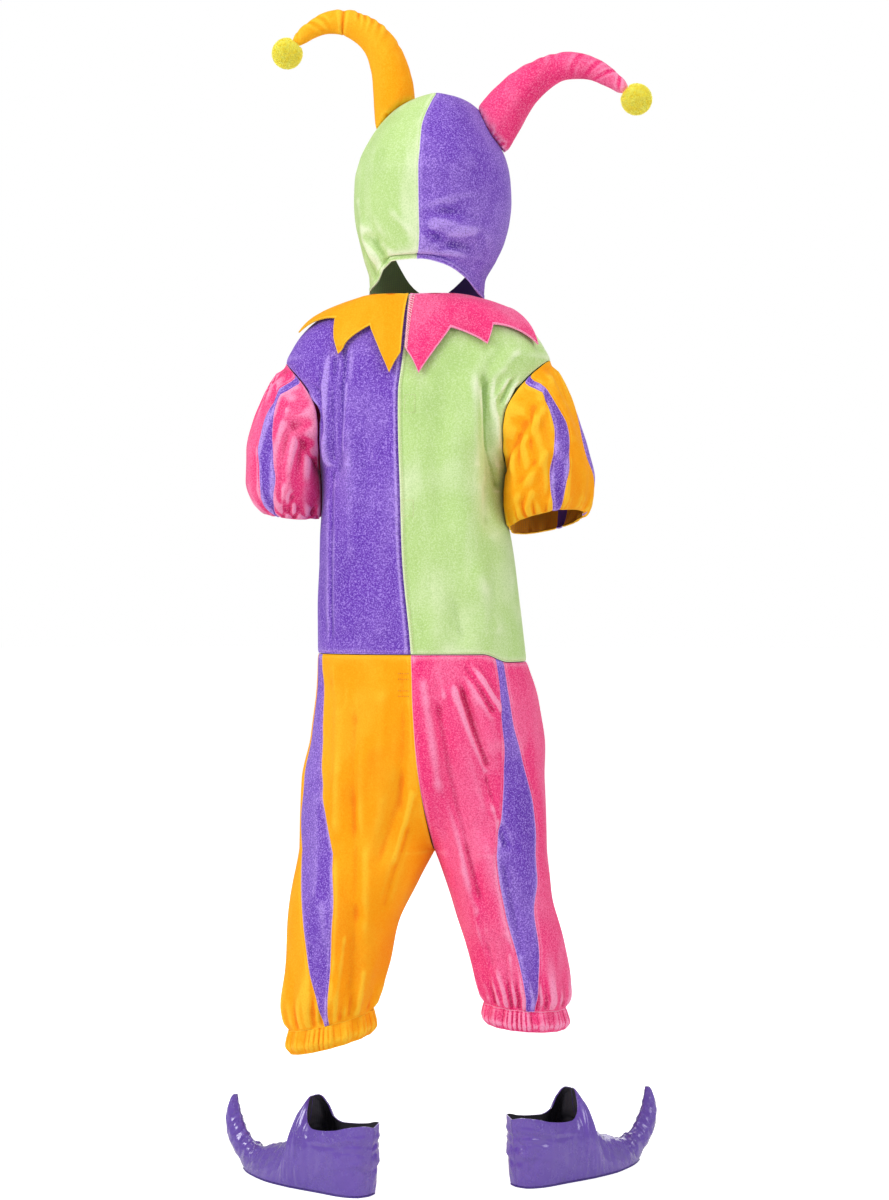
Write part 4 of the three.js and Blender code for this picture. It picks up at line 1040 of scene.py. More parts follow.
# Trousers.
# Each leg is a back, a front and a tapering purple gore down the outer side, orange on the
# left and pink on the right, sewn to the bodice at the waist and to each other at the rise.

CROTCH = -630
RISE_TOP = -500
THIGH_LOW = -730
THIGH_HIGH = -500
LEG_GATHERS = 9
LEG_GATHER_HEIGHT = 2.6
LEG_GATHER_LENGTH = 110

HIPS = table(["z", "middle", "half_width", "half_depth"], [
    [-630, 14.5, 142.5, 80],
    [-590, 14, 141, 87],
    [-552, 14, 140, 90],
    [-500, 19, 134, 92],
    [-460, 18.5, 128.5, 92],
    [-437, 17, 125, 90],
    [-406, 13, 120, 88],
])

LEG_COLUMNS = ["z", "middle_x", "middle_y", "half_width", "half_depth"]

LEG_LEFT = table(LEG_COLUMNS, [
    [-850, -88, -30, 46, 47],
    [-840, -88, -30, 52, 53],
    [-823, -88, -30, 49, 50],
    [-812, -88.5, -29, 52.5, 54],
    [-795, -87.5, -28, 57, 59],
    [-759, -81, -23, 60, 63],
    [-713, -76, -18, 64, 67],
    [-667, -63, -12, 73, 75],
    [-630, -49.5, -8, 78.5, 80],
])

LEG_RIGHT = table(LEG_COLUMNS, [
    [-832, 132, 6, 45, 46],
    [-824, 131.5, 6, 50, 51],
    [-808, 131, 5, 47, 48],
    [-797, 131, 5, 51, 52],
    [-782, 129, 4, 53.5, 56],
    [-736, 119, 2, 56.5, 61],
    [-690, 106, 0, 58, 65],
    [-660, 100, -3, 61, 70],
    [-630, 93, -6, 64, 76],
])

GORE_LEFT = table(["z", "back", "front"], [
    [-823, 0.232, 0.25],
    [-794, 0.238, 0.274],
    [-760, 0.247, 0.314],
    [-727, 0.252, 0.34],
    [-695, 0.26, 0.365],
    [-663, 0.276, 0.395],
    [-631, 0.289, 0.428],
    [-599, 0.293, 0.44],
    [-553, 0.298, 0.41],
    [-480, 0.33, 0.415],
    [-406, 0.369, 0.435],
])

GORE_RIGHT = table(["z", "back", "front"], [
    [-808, 0.266, 0.3],
    [-778, 0.267, 0.318],
    [-740, 0.267, 0.344],
    [-695, 0.267, 0.364],
    [-655, 0.255, 0.396],
    [-612, 0.245, 0.396],
    [-580, 0.246, 0.38],
    [-551, 0.243, 0.348],
    [-515, 0.239, 0.306],
    [-482, 0.242, 0.288],
    [-449, 0.252, 0.285],
    [-406, 0.266, 0.302],
])

LEG_CREASES = [
    [-1, 78, -425, 108, -520, 11, 4],
    [-1, 55, -440, 92, -590, 12, 4],
    [-1, 66, -440, 98, -570, 7, -4],
    [-1, 90, -610, 118, -730, 10, 4],
    [-1, 72, -620, 102, -760, 8, -3],
    [-1, -88, -430, -92, -560, 10, -4],
    [-1, -30, -430, -50, -600, 16, 3],
    [-1, -60, -560, -52, -700, 10, -4],
    [-1, 0, -540, -28, -640, 9, -4],
    [-1, 40, -560, 60, -640, 9, -4],
    [-1, -90, -680, -78, -800, 9, 4],
    [-1, -50, -690, -62, -800, 8, -4],
    [1, 70, -430, 96, -580, 12, -4],
    [1, -60, -430, -82, -580, 12, -4],
    [1, 95, -620, 120, -760, 11, 4],
    [1, -60, -620, -80, -770, 11, 4],
]

LEG_FOLDS = [
    [-1, 76, -414, 109, -468, 4, 3],
    [-1, 68, -414, 101, -470, 4, -2.4],
    [-1, 57, -440, 86, -520, 6, 4],
    [-1, 86, -520, 109, -600, 6, 4],
    [-1, 69, -448, 96, -530, 5, -3.4],
    [-1, 93, -540, 116, -622, 4.4, -2.6],
    [-1, 24, -430, 41, -560, 9, 3.8],
    [-1, 41, -560, 64, -632, 9, 4],
    [-1, 64, -632, 93, -726, 9, 3.8],
    [-1, 42, -460, 60, -560, 8, -3.4],
    [-1, 60, -560, 84, -680, 8, -3.6],
    [-1, -72, -462, -75.6, -605, 8, 3.2],
    [-1, -54, -470, -58, -610, 8, -2.8],
    [-1, -17, -438, -24, -608, 12, 4],
    [-1, 2, -470, -2, -580, 7, -2.6],
    [-1, 12, -560, -10, -640, 4, 2.2],
    [-1, 4, -600, -22, -690, 4, -2],
    [-1, 84, -700, 104, -790, 4, -1.6],
    [-1, 112, -640, 132, -740, 5, -1.8],
    [-1, 118, -740, 124, -800, 4, 1.6],
    [-1, -10, -450, -18, -560, 8, -1.5],
    [-1, -62, -440, -70, -540, 6, 1.6],
    [-1, -40, -620, -44, -720, 9, 2.8],
    [-1, -76, -640, -74, -760, 8, 2.8],
    [-1, -100, -560, -100, -680, 6, 1.6],
    [-1, -64, -720, -74, -810, 4, 1.7],
    [-1, -104, -730, -100, -812, 4, -1.7],
    [-1, -44, -760, -50, -815, 4, 1.6],
    [-1, 0, -415, 2, -470, 5, -1.2],
    [-1, -80, -412, -82, -450, 4, 1.3],
    [-1, 40, -412, 48, -455, 4, 1.2],
    [1, 40, -470, 60, -600, 8, 2.2],
    [1, -30, -470, -44, -600, 8, 2.2],
    [1, 110, -700, 122, -790, 6, -2],
    [1, -80, -700, -84, -800, 6, -2],
]

LEGS = {
    "left": dict(side=-1, rings=LEG_LEFT, gore=GORE_LEFT, bottom=-823, cuff=-850, tilt=12),
    "right": dict(side=1, rings=LEG_RIGHT, gore=GORE_RIGHT, bottom=-808, cuff=-832, tilt=3),
}


def leg_surface(leg):
    side, rings, bottom, tilt = leg["side"], leg["rings"], leg["bottom"], leg["tilt"]

    def point(u, z):
        hip_angle = mix(seam_angle(HIPS, z), side * math.pi, u)
        fade = smooth(0, 1, (z - RISE_TOP) / 60)
        hip_middle, hip_width, hip_depth = read_row(HIPS, z, "middle", "half_width", "half_depth")
        hip_level = z + waist_shift(hip_angle, z) * fade
        hip = oval_point(hip_middle, 0, hip_width, hip_depth, BODY_POWER, hip_angle, hip_level)
        turn = side * (u * 360 - 90) * RADIAN
        middle_x, middle_y, half_width, half_depth = read_row(rings, z, *LEG_COLUMNS[1:])
        wobble = LEG_GATHERS * turn + 0.8 * np.sin(2 * turn)
        low = smooth(bottom - 2, bottom + 8, z)
        gathered = smooth(bottom + LEG_GATHER_LENGTH, bottom + 12, z) * low
        wave = LEG_GATHER_HEIGHT * np.sin(wobble) * gathered
        pinched = smooth(bottom + 46, bottom + 8, z) * low
        wave = wave + 1.3 * np.sin(2.6 * wobble + 1.5 * np.sin(3 * turn)) * pinched
        tube = oval_point(middle_x, middle_y, half_width + wave, half_depth + wave, 2, turn, z)
        tube[..., 2] -= tilt * np.sin(turn) * side * smooth(-700, bottom, z)
        down = np.clip((RISE_TOP - z) / (RISE_TOP - CROTCH), 0, 1)
        seam_blend = 1 - np.sqrt(1 - down * down)
        thigh_blend = 1 - smooth(THIGH_LOW, THIGH_HIGH, z)
        near_seam = 1 - smooth(0.02, 0.11, np.minimum(u, 1 - u))
        blend = mix(thigh_blend, seam_blend, near_seam)
        p = mix(hip, tube, blend[..., None])
        swell = drape(p, 30, 0.5) * smooth(0, 40, np.abs(p[..., 2] - WAIST))
        height = crease_height(LEG_CREASES, p) + crease_height(LEG_FOLDS, p) + swell
        p = push_out(p, mix(hip_middle, middle_x, blend), 0, height)
        seam_top = np.where(u < 0.5, read_at(BACK_SEAM, "x", z), hip_middle)
        seam = mix(seam_top, BACK_SEAM["x"][0], seam_blend)
        held = np.where(side * (p[..., 0] - seam) > 0, p[..., 0], seam)
        p[..., 0] = np.where(z > CROTCH - 1, held, p[..., 0])
        return p

    return point


LEG_PANELS = {
    # piece: width in millimetres and spans for its spacing, and the cut on each side
    "back": (120, 64, [(0.16, 0.44, 0.0475), (0.14, 0.42, 0.0405)]),
    "gore": (34, 20, [(0.06, 0.43, 0.0148), (0.06, 0.41, 0.0128)]),
    "front": (200, 90, [(0.29, 0.45, 0.0970), (0.28, 0.43, 0.0925)]),
}
LEG_CLOTHS = {"left": (ORANGE, "velour_orange"), "right": (PINK, "velour_pink")}
for word, leg in LEGS.items():
    surface = leg_surface(leg)
    gore = leg["gore"]
    low_rows = np.linspace(leg["bottom"], CROTCH, 58)
    climb = np.linspace(0, 1, 66)[1:]
    rise_rows = CROTCH + (WAIST - WAIST_GAP - CROTCH) * mix(climb, climb**2, 0.45)
    near_low = leg["bottom"] + ROWS_BY_SEAM
    near_high = WAIST - WAIST_GAP - ROWS_BY_SEAM
    leg_rows = np.unique(np.concatenate([low_rows, rise_rows, near_low, near_high]))
    edges_at = {
        "back": (lambda z: 0 * z, lambda z: read_at(gore, "back", z)),
        "gore": (lambda z: read_at(gore, "back", z), lambda z: read_at(gore, "front", z)),
        "front": (lambda z: read_at(gore, "front", z), lambda z: 1 + 0 * z),
    }
    for piece_word, (width, spans, cuts) in LEG_PANELS.items():
        start, end = edges_at[piece_word]
        cut, length, area = cuts[0 if word == "left" else 1]
        cloth, slot = LEG_CLOTHS[word] if piece_word != "gore" else (PURPLE, "velour_purple")
        node = f"leg_{word}_{piece_word}"
        near = (0.5, 1.2, 2.2, 3.4) if width > 50 else (0.6, 1.6, 2.8)
        panel = lay_cloth(
            f"{node}_velour", surface, lambda u, z: (mix(start(z), end(z), u), z),
            seam_lines(width, spans, near), leg_rows, VELOUR, cloth,
            turn=leg["side"], step=2e-3, seams=(0.8, 0.8, 0.6, 0.9),
        )
        dress(panel, node, slot, (cut, length), area, [f"back_{word}"])

# Leg cuffs.
# A narrow velour casing round the bottom of each leg, drawn up by the elastic inside it, so
# the cloth stands in fine uneven pleats.

CUFF_GAP = 0.1
CUFF_GATHERS = 14
CUFF_PLEATS = 46
CUFF_GATHER_HEIGHT = 1.5


def cuff_surface(leg):
    side, rings, tilt = leg["side"], leg["rings"], leg["tilt"]
    bottom, cuff = leg["bottom"], leg["cuff"]

    def point(u, z):
        turn = side * u * 2 * math.pi
        wobble = CUFF_GATHERS * turn + np.sin(2 * turn)
        wave = CUFF_GATHER_HEIGHT * np.sin(wobble) * smooth(cuff - 6, cuff + 8, z)
        phase = CUFF_PLEATS * turn + 1.6 * np.sin(3 * turn) + 1.1 * np.sin(7 * turn + 1)
        lean = 0.5 * np.sin(5 * turn) * (z - cuff) / 10
        sharp = 1 - 2 * np.abs(np.sin((phase + lean) / 2)) ** 0.7
        middle = np.sin(math.pi * np.clip((z - cuff) / (bottom - cuff), 0, 1))
        wave = wave - 0.8 * sharp * (0.5 + 0.5 * middle) * (0.7 + 0.3 * np.sin(4 * turn + 2))
        middle_x, middle_y, half_width, half_depth = read_row(rings, z, *LEG_COLUMNS[1:])
        p = oval_point(middle_x, middle_y, half_width + wave, half_depth + wave, 2, turn, z)
        p[..., 2] -= tilt * np.sin(turn) * side
        return p

    return point


CUFF_CUTS = {"left": ((0.42, 0.031), 0.0105), "right": ((0.4, 0.028), 0.0092)}
for word, leg in LEGS.items():
    cloth, slot = LEG_CLOTHS[word]
    top = leg["bottom"] - CUFF_GAP
    cuff_rows = leg["cuff"] + (top - leg["cuff"]) * seam_lines(24, 12, (0.5, 1.3, 2.4))
    cuff = lay_cloth(
        f"leg_{word}_cuff_velour", cuff_surface(leg), lambda u, z: (u, z),
        np.linspace(0, 1, 369)[:-1], cuff_rows, VELOUR, cloth,
        turn=leg["side"], closed=True, step=1e-4, seams=(0, 0, 0, 0.7),
    )
    flat, area = CUFF_CUTS[word]
    dress(cuff, f"leg_{word}_cuff", slot, flat, area, [f"leg_{word}_back"])

# Hood.
# Two velour halves, green on the left and purple on the right, sewn over the crown from the
# back hem to the face opening, which is oval and closes under the chin.

FACE = {"x": 23, "z": 104, "half_width": 62, "half_height": 82}
HOOD_SEAM = -3
HOOD_TOP = 12
CROWN_LEVEL = 11
FACE_TOP_LEVEL = 8.12
HEM_STITCH_LINE = 6

HOOD = table(["level", "z", "middle_x", "middle_y", "half_width", "half_depth"], [
    [0, 4, 18, 4, 66, 68],
    [1, 24, 18, 6, 67, 72],
    [2, 46, 21, 10, 76, 82],
    [3, 69, 23, 14, 84, 92],
    [4, 92, 23, 18, 89, 99],
    [5, 115, 23, 20, 91, 103],
    [6, 138, 23, 20, 90, 104],
    [7, 161, 24, 20, 85, 100],
    [8, 184, 24, 20, 74, 90],
    [9, 205, 26, 20, 61, 77],
    [10, 220, 29.5, 20, 47, 66],
    [11, 229, 32.5, 20, 29, 55],
    [12, 232.5, 32, 20, 0.4, 48],
])

HOOD_HEM = table(["angle", "z"], [
    [-180, -14],
    [-130, -8],
    [-85, 6],
    [-55, 14],
    [-30, 37],
    [0, 38],
    [22, 33],
    [47, 20],
    [73, 2.4],
    [100, -1.6],
    [140, -9],
    [180, -14],
])

HOOD_CREASES = [
    [-1, -38, 66, -20, 42, 7, -3],
    [-1, -50, 80, -36, 40, 7, 3],
    [-1, 28, 80, 78, 66, 8, 3],
    [-1, 34, 60, 80, 48, 7, -3],
    [-1, 50, 40, 88, 24, 7, 2.5],
]

HOOD_FOLDS = [
    [-1, -52, 68, -27, 27, 3.6, 2],
    [-1, -44, 70, -20, 34, 3.4, -1.6],
    [-1, -58, 62, -36, 22, 3.2, -1.9],
    [-1, -57, 114, -49, 70, 4.4, 1.6],
    [-1, -66, 110, -58, 70, 4, -1.3],
    [-1, -14, 92, 10, 66, 6, 1],
    [-1, -22, 84, 2, 60, 6, -0.9],
    [-1, 16, 70, 42, 61, 5, -1.3],
    [-1, 20, 80, 78, 98, 8, -1.3],
    [-1, 22, 92, 78, 110, 8, 1],
    [-1, 34, 44, 80, 62, 6, -1.5],
    [-1, 38, 54, 84, 73, 6, 1.2],
    [-1, 84, 68, 91, 38, 4, -1.6],
    [-1, -44, 92, -30, 60, 4, -1.2],
    [-1, -56, 70, -46, 34, 3.5, -1.4],
    [-1, -30, 58, -14, 44, 3.5, 1.2],
    [-1, 40, 92, 84, 84, 5, -1.2],
    [-1, 30, 70, 70, 58, 4, 1.2],
    [-1, 62, 34, 86, 22, 4, -1.3],
    [-1, -40, 150, -20, 190, 9, 1],
    [-1, 60, 170, 80, 140, 9, 1],
]


def hood_point(angle, level):
    degrees = (angle / RADIAN + 180) % 360 - 180
    hem = (read_at(HOOD_HEM, "z", degrees) - HOOD["z"][0]) * (1 - smooth(0, 2.2, level))
    z, middle_x, middle_y, half_width, half_depth = read_row(
        HOOD, level, "z", "middle_x", "middle_y", "half_width", "half_depth"
    )
    p = oval_point(middle_x, middle_y, half_width, half_depth, 2, angle, z + hem)
    height = crease_height(HOOD_CREASES, p) + crease_height(HOOD_FOLDS, p) + drape(p, 26, 0.4)
    return push_out(p, middle_x, middle_y, height * smooth(12, 10.5, level))


def face_angle(level):
    """The angle, from the front seam, at which the face opening's edge crosses a level."""
    rise = np.clip((read_at(HOOD, "z", level) - FACE["z"]) / FACE["half_height"], -1, 1)
    across = FACE["half_width"] * np.sqrt(1 - rise * rise)
    return np.arcsin(np.minimum(1, across / read_at(HOOD, "half_width", level)))


def hood_surface(side):
    return lambda around, level: hood_point(around * side, np.minimum(level, HOOD_TOP))


def hood_spot(side):
    def spot(u, level):
        seam = HOOD_SEAM * RADIAN * side * (1 - smooth(8, 10, level))
        return mix(seam, math.pi - face_angle(level), u), level

    return spot


def keep_half(side):
    """Near the crown each half stays on its own side of the seam."""

    def keep(p, level):
        seam = read_at(HOOD, "middle_x", level)
        held = seam + side * np.maximum(side * (p[..., 0] - seam), 0.1)
        kept = p.copy()
        kept[..., 0] = np.where(level >= CROWN_LEVEL, held, p[..., 0])
        return kept

    return keep


def turned_hem(free):
    """The height of a hem folded under, by distance from its edge, with a dip at its stitches."""
    return 0.5 * (1 - smooth(4.5, 7.5, free)) - 0.45 * bell(free - HEM_STITCH_LINE, 1.1)


def hood_hem(u, v, p, edges):
    """The hem all along the neck, and up the edge of the face opening."""
    open_front = smooth(2.2, 2.6, v) * (1 - smooth(FACE_TOP_LEVEL - 0.3, FACE_TOP_LEVEL, v))
    return turned_hem(edges[2]) + turned_hem(edges[1]) * open_front


low_levels = FACE_TOP_LEVEL * np.sin(np.linspace(0, math.pi / 2, 74))
high_levels = np.linspace(FACE_TOP_LEVEL, HOOD_TOP, 40)
hood_levels = np.unique(np.concatenate([low_levels, high_levels, [0.03, 0.08, 0.15, 0.25, 0.35]]))
HOOD_HALVES = [
    ["hood_left", -1, GREEN, "velour_green", 0.0533],
    ["hood_right", 1, PURPLE, "velour_purple", 0.0544],
]
for node, side, cloth, slot, area in HOOD_HALVES:
    half = lay_cloth(
        f"{node}_velour", hood_surface(side), hood_spot(side), seam_lines(200, 70),
        hood_levels, VELOUR, cloth,
        turn=side, rise=0.01, seams=(0.8, 0, 0, 0.5), relief=hood_hem, keep=keep_half(side),
    )
    dress(half, node, slot, (0.3, 0.26), area, ["collar_left", "collar_right"])

# Horns.
# Two long cones of velour stuffed firm with fibre, orange on the left and pink on the right,
# which curve over and are sewn to the crown of the hood at their wide ends.

HORN_VOXEL = 0.0035
HORN_SWELL_CAP = 0.004
HORN_PRESSURE = 4
HORN_FRAMES = 20
HORN_PATH_STEPS = 181
HORN_PATH_ROUNDS = 40

# Creases go round a horn: place along it (0 base, 1 tip), lean, side in degrees, spread,
# width along it in millimetres and height in millimetres. Side 0 is inside the bend.
HORN_LEFT_CREASES = [
    [0.72, 1, -90, 95, 2.2, -2.6],
    [0.74, 1, -90, 80, 3, 0.9],
    [0.66, 4, -30, 45, 2.4, -1.8],
    [0.63, 5, -30, 45, 2.4, -1.7],
    [0.6, 5, -25, 45, 2.6, -1.6],
    [0.56, 6, -25, 40, 2.8, -1.4],
    [0.52, 6, -15, 40, 3, -1.2],
    [0.45, 5, 0, 45, 4, -1],
    [0.82, 5, -80, 50, 2.4, -1.2],
    [0.88, 5, -60, 80, 2.6, -1.1],
    [0.94, -4, 30, 90, 2.6, -1.1],
]
HORN_RIGHT_CREASES = [
    [0.5, 3, 5, 45, 4, -1.3],
    [0.56, 4, 0, 40, 3.4, -1.2],
    [0.61, 4, 0, 45, 3.2, -1.3],
    [0.42, 6, 10, 45, 4, -1],
    [0.7, 4, -80, 60, 3.4, -0.8],
    [0.8, 4, -70, 70, 3.2, -0.8],
    [0.88, 5, -60, 80, 3, -0.8],
    [0.94, -4, -40, 90, 3, -0.8],
]

HORN_LEFT = [
    (-15, 18, 190), (-19.6, 17, 213), (-22, 15, 247), (-28, 14, 276), (-39, 13, 299),
    (-56, 12, 315), (-79, 11, 324.5), (-102, 10, 323), (-122, 9, 313), (-135, 8, 301),
]
HORN_RIGHT = [
    (78, 18, 180), (93, 17, 200), (110, 15, 223), (131, 13, 246), (153, 12, 260),
    (171, 11, 267), (192, 10, 267), (212, 9, 261), (231, 8, 249), (245, 7, 237),
]


def finish_modifiers(piece):
    """The piece's mesh becomes what its modifiers make of it."""
    depsgraph = bpy.context.evaluated_depsgraph_get()
    made = bpy.data.meshes.new_from_object(piece.evaluated_get(depsgraph))
    piece.modifiers.clear()
    piece.data = made


def mesh_points(mesh, attribute="co", owner="vertices"):
    flat = np.empty(len(getattr(mesh, owner)) * 3)
    getattr(mesh, owner).foreach_get(attribute, flat)
    return flat.reshape(-1, 3)


def stuff(piece, cap):
    """Air pressure swells the cloth evenly, and no point moves further than the cap."""
    before = mesh_points(piece.data)
    cloth = piece.modifiers.new("stuffing", "CLOTH")
    cloth.settings.use_pressure = True
    cloth.settings.uniform_pressure_force = HORN_PRESSURE
    cloth.settings.effector_weights.gravity = 0
    for number in range(1, HORN_FRAMES + 1):
        studio.frame_set(number)
    depsgraph = bpy.context.evaluated_depsgraph_get()
    swollen = bpy.data.meshes.new_from_object(piece.evaluated_get(depsgraph))
    after = mesh_points(swollen)
    piece.modifiers.clear()
    studio.frame_set(1)
    move = after - before
    length = np.linalg.norm(move, axis=1, keepdims=True)
    held = before + move * np.minimum(1, cap / np.maximum(length, 1e-9))
    piece.data.vertices.foreach_set("co", held.ravel())


def crease_horn(piece, path, creases):
    """Presses the creases and the long seam into the stuffed cloth."""
    path = np.array(path, float)
    places = np.linspace(0, len(path) - 1, HORN_PATH_STEPS)
    fine_path = np.stack([np.interp(places, range(len(path)), axis) for axis in path.T], axis=1)
    for _ in range(HORN_PATH_ROUNDS):
        fine_path[1:-1] = (fine_path[:-2] + 2 * fine_path[1:-1] + fine_path[2:]) / 4
    ahead = np.gradient(fine_path, axis=0)
    ahead /= np.linalg.norm(ahead, axis=1, keepdims=True)
    run = np.concatenate([[0], np.cumsum(np.linalg.norm(np.diff(fine_path, axis=0), axis=1))])
    points = mesh_points(piece.data) * 1000
    nearest = ((points[:, None, :] - fine_path[None, :, :]) ** 2).sum(axis=2).argmin(axis=1)
    out = points - fine_path[nearest]
    forward = ahead[nearest]
    bend_side = np.cross(forward, [0.0, 1.0, 0.0])
    if path[-1][0] < path[0][0]:
        bend_side = -bend_side
    angle = np.arctan2(out[:, 1], (out * bend_side).sum(axis=1)) / RADIAN
    place = run[nearest] + (out * forward).sum(axis=1)
    normals = mesh_points(piece.data, "vector", "vertex_normals")
    height = np.zeros(len(points))
    for at, lean, side, spread, width, deep in creases:
        turn = (angle - side + 180) % 360 - 180
        off = place - at * run[-1] - lean * turn / 45
        height += deep * bell(off, width) * bell(turn, spread)
    seam = np.minimum(np.abs(np.abs(angle) - 90), 90)
    girth = np.linalg.norm(out, axis=1) * seam * RADIAN
    height -= 0.5 * bell(girth, 1.6) * (np.abs(angle) < 180) * (angle > 0)
    height += drape(points, 12, 0.25)
    moved = points + normals * height[:, None]
    piece.data.vertices.foreach_set("co", (moved * 0.001).ravel())
    piece.data.update()


HORNS = [
    ("horn_left", HORN_LEFT, HORN_LEFT_CREASES, ORANGE, "velour_orange"),
    ("horn_right", HORN_RIGHT, HORN_RIGHT_CREASES, PINK, "velour_pink"),
]
for node, path, creases, cloth, slot in HORNS:
    horn = add_piece(f"{node}_velour", bpy.data.objects[node].data.copy())
    horn.data.materials.clear()
    horn.data.materials.append(cloth[0])
    remesh = horn.modifiers.new("remesh", "REMESH")
    remesh.mode = "VOXEL"
    remesh.voxel_size = HORN_VOXEL
    soften = horn.modifiers.new("soften", "SMOOTH")
    soften.factor = 0.5
    soften.iterations = 12
    finish_modifiers(horn)
    stuff(horn, HORN_SWELL_CAP)
    subdivide = horn.modifiers.new("fine", "SUBSURF")
    subdivide.levels = 1
    subdivide.render_levels = 1
    finish_modifiers(horn)
    crease_horn(horn, path, creases)
    shade_smooth(horn.data)
    stand_for(horn, node, slot)

# Pompoms.
# A ball of cut yellow fibre on the tip of each horn, with short straight locks standing out
# all round and a core where they are tied.

POMPOM_RADIUS = 18.5
POMPOM_CORE = 15.8
POMPOM_LOCKS = 5200
POMPOM_LOCK_RADIUS = 0.46
POMPOM_LOCK_ROOT = 0.6
POMPOM_BARE = 0.86
THIRD_TURN = 2.0944

pompom_fluff, fluff_in, fluff_out = start_group(
    "pompom_fluff",
    [
        ("Colour", "colour", (0.8, 0.7, 0.05, 1)),
        ("Tip Colour", "colour", (0.95, 0.9, 0.2, 1)),
        ("Fibre Size", "number", 1.2),
    ],
)
fibre = cloth_noise(pompom_fluff, fluff_in.outputs["Fibre Size"], 2.0)
clump = cloth_noise(pompom_fluff, 5.0, 2.0)
fluff_mix = ramp(pompom_fluff, reckon(pompom_fluff, "ADD", fibre, clump), 0.75, 1.25)
fluff_colour = blend_colours(
    pompom_fluff, fluff_mix, fluff_in.outputs["Colour"], fluff_in.outputs["Tip Colour"]
)
fluff_rough = ramp(pompom_fluff, clump, 0.3, 0.7, 0.8, 0.95)
finish_group(pompom_fluff, fluff_out, fluff_colour, fluff_rough, fibre)

# A faint yellow emission makes the pompoms glow a little: painted light that brightens them.
pompom_yellow = make_material(
    "pompom_yellow", pompom_fluff,
    {"Colour": (1.0, 0.86, 0.06, 1), "Tip Colour": (1.0, 1.0, 0.3, 1)}, 0.6, 0.0012,
    {
        "Sheen Weight": 0.5, "Sheen Tint": (1, 1, 0.5, 1),
        "Emission Color": (1, 0.9, 0.08, 1), "Emission Strength": 0.05,
    },
)

POMPOMS = [
    ("pompom_left", (-145.5, 7, 288.7), (-135, 8, 301), 11),
    ("pompom_right", (258.3, 6, 226), (245, 7, 237), 12),
]


def pompom_mesh(centre, tip, seed):
    """A lumpy core, and three-sided locks that lean a little, bare where the horn goes in."""
    draw = np.random.default_rng(seed)
    centre = np.array(centre, float)
    to_tip = np.array(tip, float) - centre
    to_tip /= np.linalg.norm(to_tip)
    rings, sides = 22, 40
    points, faces = [], []
    for j in range(rings + 1):
        for i in range(sides):
            low, turn = math.pi * j / rings, 2 * math.pi * i / sides
            way = np.array([
                math.sin(low) * math.cos(turn), math.sin(low) * math.sin(turn), math.cos(low)
            ])
            points.append(centre + way * POMPOM_CORE * (1 + 0.02 * math.sin(9 * turn + 7 * low)))
    for j in range(rings):
        for i in range(sides):
            a, b = j * sides + i, j * sides + (i + 1) % sides
            faces.append((a, a + sides, b + sides))
            faces.append((a, b + sides, b))
    k = np.arange(POMPOM_LOCKS)
    z = 1 - (2 * k + 1) / POMPOM_LOCKS
    turn = k * math.pi * (3 - math.sqrt(5))
    flat = np.sqrt(1 - z * z)
    ways = np.stack([flat * np.cos(turn), flat * np.sin(turn), z], axis=1)
    ways += draw.normal(0, 0.02, ways.shape)
    ways /= np.linalg.norm(ways, axis=1, keepdims=True)
    ways = ways[ways @ to_tip < POMPOM_BARE]
    for way in ways:
        side = np.cross(way, [0.3, 0.5, 0.81])
        side /= np.linalg.norm(side)
        other = np.cross(way, side)
        root = centre + way * (POMPOM_CORE - POMPOM_LOCK_ROOT)
        lean = way + draw.normal(0, 0.16, 3)
        lean /= np.linalg.norm(lean)
        length = (POMPOM_RADIUS - POMPOM_CORE + POMPOM_LOCK_ROOT) * draw.uniform(0.86, 1.05)
        first = len(points)
        spin = draw.uniform(0, 2.1)
        for share, girth in ((0, 1), (0.7, 0.75)):
            for n in range(3):
                around = spin + n * THIRD_TURN
                off = math.cos(around) * side + math.sin(around) * other
                points.append(root + lean * length * share + off * POMPOM_LOCK_RADIUS * girth)
        points.append(root + lean * length)
        for n in range(3):
            m = (n + 1) % 3
            faces.append((first + n, first + m, first + 3 + m))
            faces.append((first + n, first + 3 + m, first + 3 + n))
            faces.append((first + 3 + n, first + 3 + m, first + 6))
        faces.append((first + 2, first + 1, first))
    return points, faces


for node, centre, tip, seed in POMPOMS:
    points, faces = pompom_mesh(centre, tip, seed)
    pompom = make_mesh(f"{node}_fibre", points, faces, [pompom_yellow])
    stand_for(pompom, node, "pompom_yellow")

# Shoe covers.
# Thin glossy purple vinyl in two halves over a flat sole, with a tall tongue, a notched top
# line and a toe that curls up. The vinyl creases where the foot bends.

VINYL = 1.2
SOLE = 2
SHOE_GAP = 0.4
SHOE_DROP = 1.017

vinyl_film, film_in, film_out = start_group(
    "vinyl_film",
    [
        ("Colour", "colour", (0.1, 0.04, 0.35, 1)),
        ("Worn Colour", "colour", (0.2, 0.1, 0.5, 1)),
        ("Wrinkle Size", "number", 9.0),
        ("Gloss", "number", 0.3),
    ],
)
wrinkle = cloth_noise(vinyl_film, film_in.outputs["Wrinkle Size"], 3.0, (1, 1, 0.6), 0.5, 1.2)
film_grain = cloth_noise(vinyl_film, 0.7, 1.0)
scuff = cloth_noise(vinyl_film, 16.0, 4.0, rough=0.7)
line = reckon(vinyl_film, "ABSOLUTE", reckon(vinyl_film, "SUBTRACT", wrinkle, 0.5), 0.0)
line = ramp(vinyl_film, line, 0.0, 0.1, 1.0, 0.0)
film_colour = blend_colours(
    vinyl_film, ramp(vinyl_film, scuff, 0.5, 0.75, 0.0, 0.5),
    film_in.outputs["Colour"], film_in.outputs["Worn Colour"],
)
scuffed = ramp(vinyl_film, scuff, 0.4, 0.7, -0.04, 0.08)
film_rough = reckon(vinyl_film, "ADD", film_in.outputs["Gloss"], scuffed)
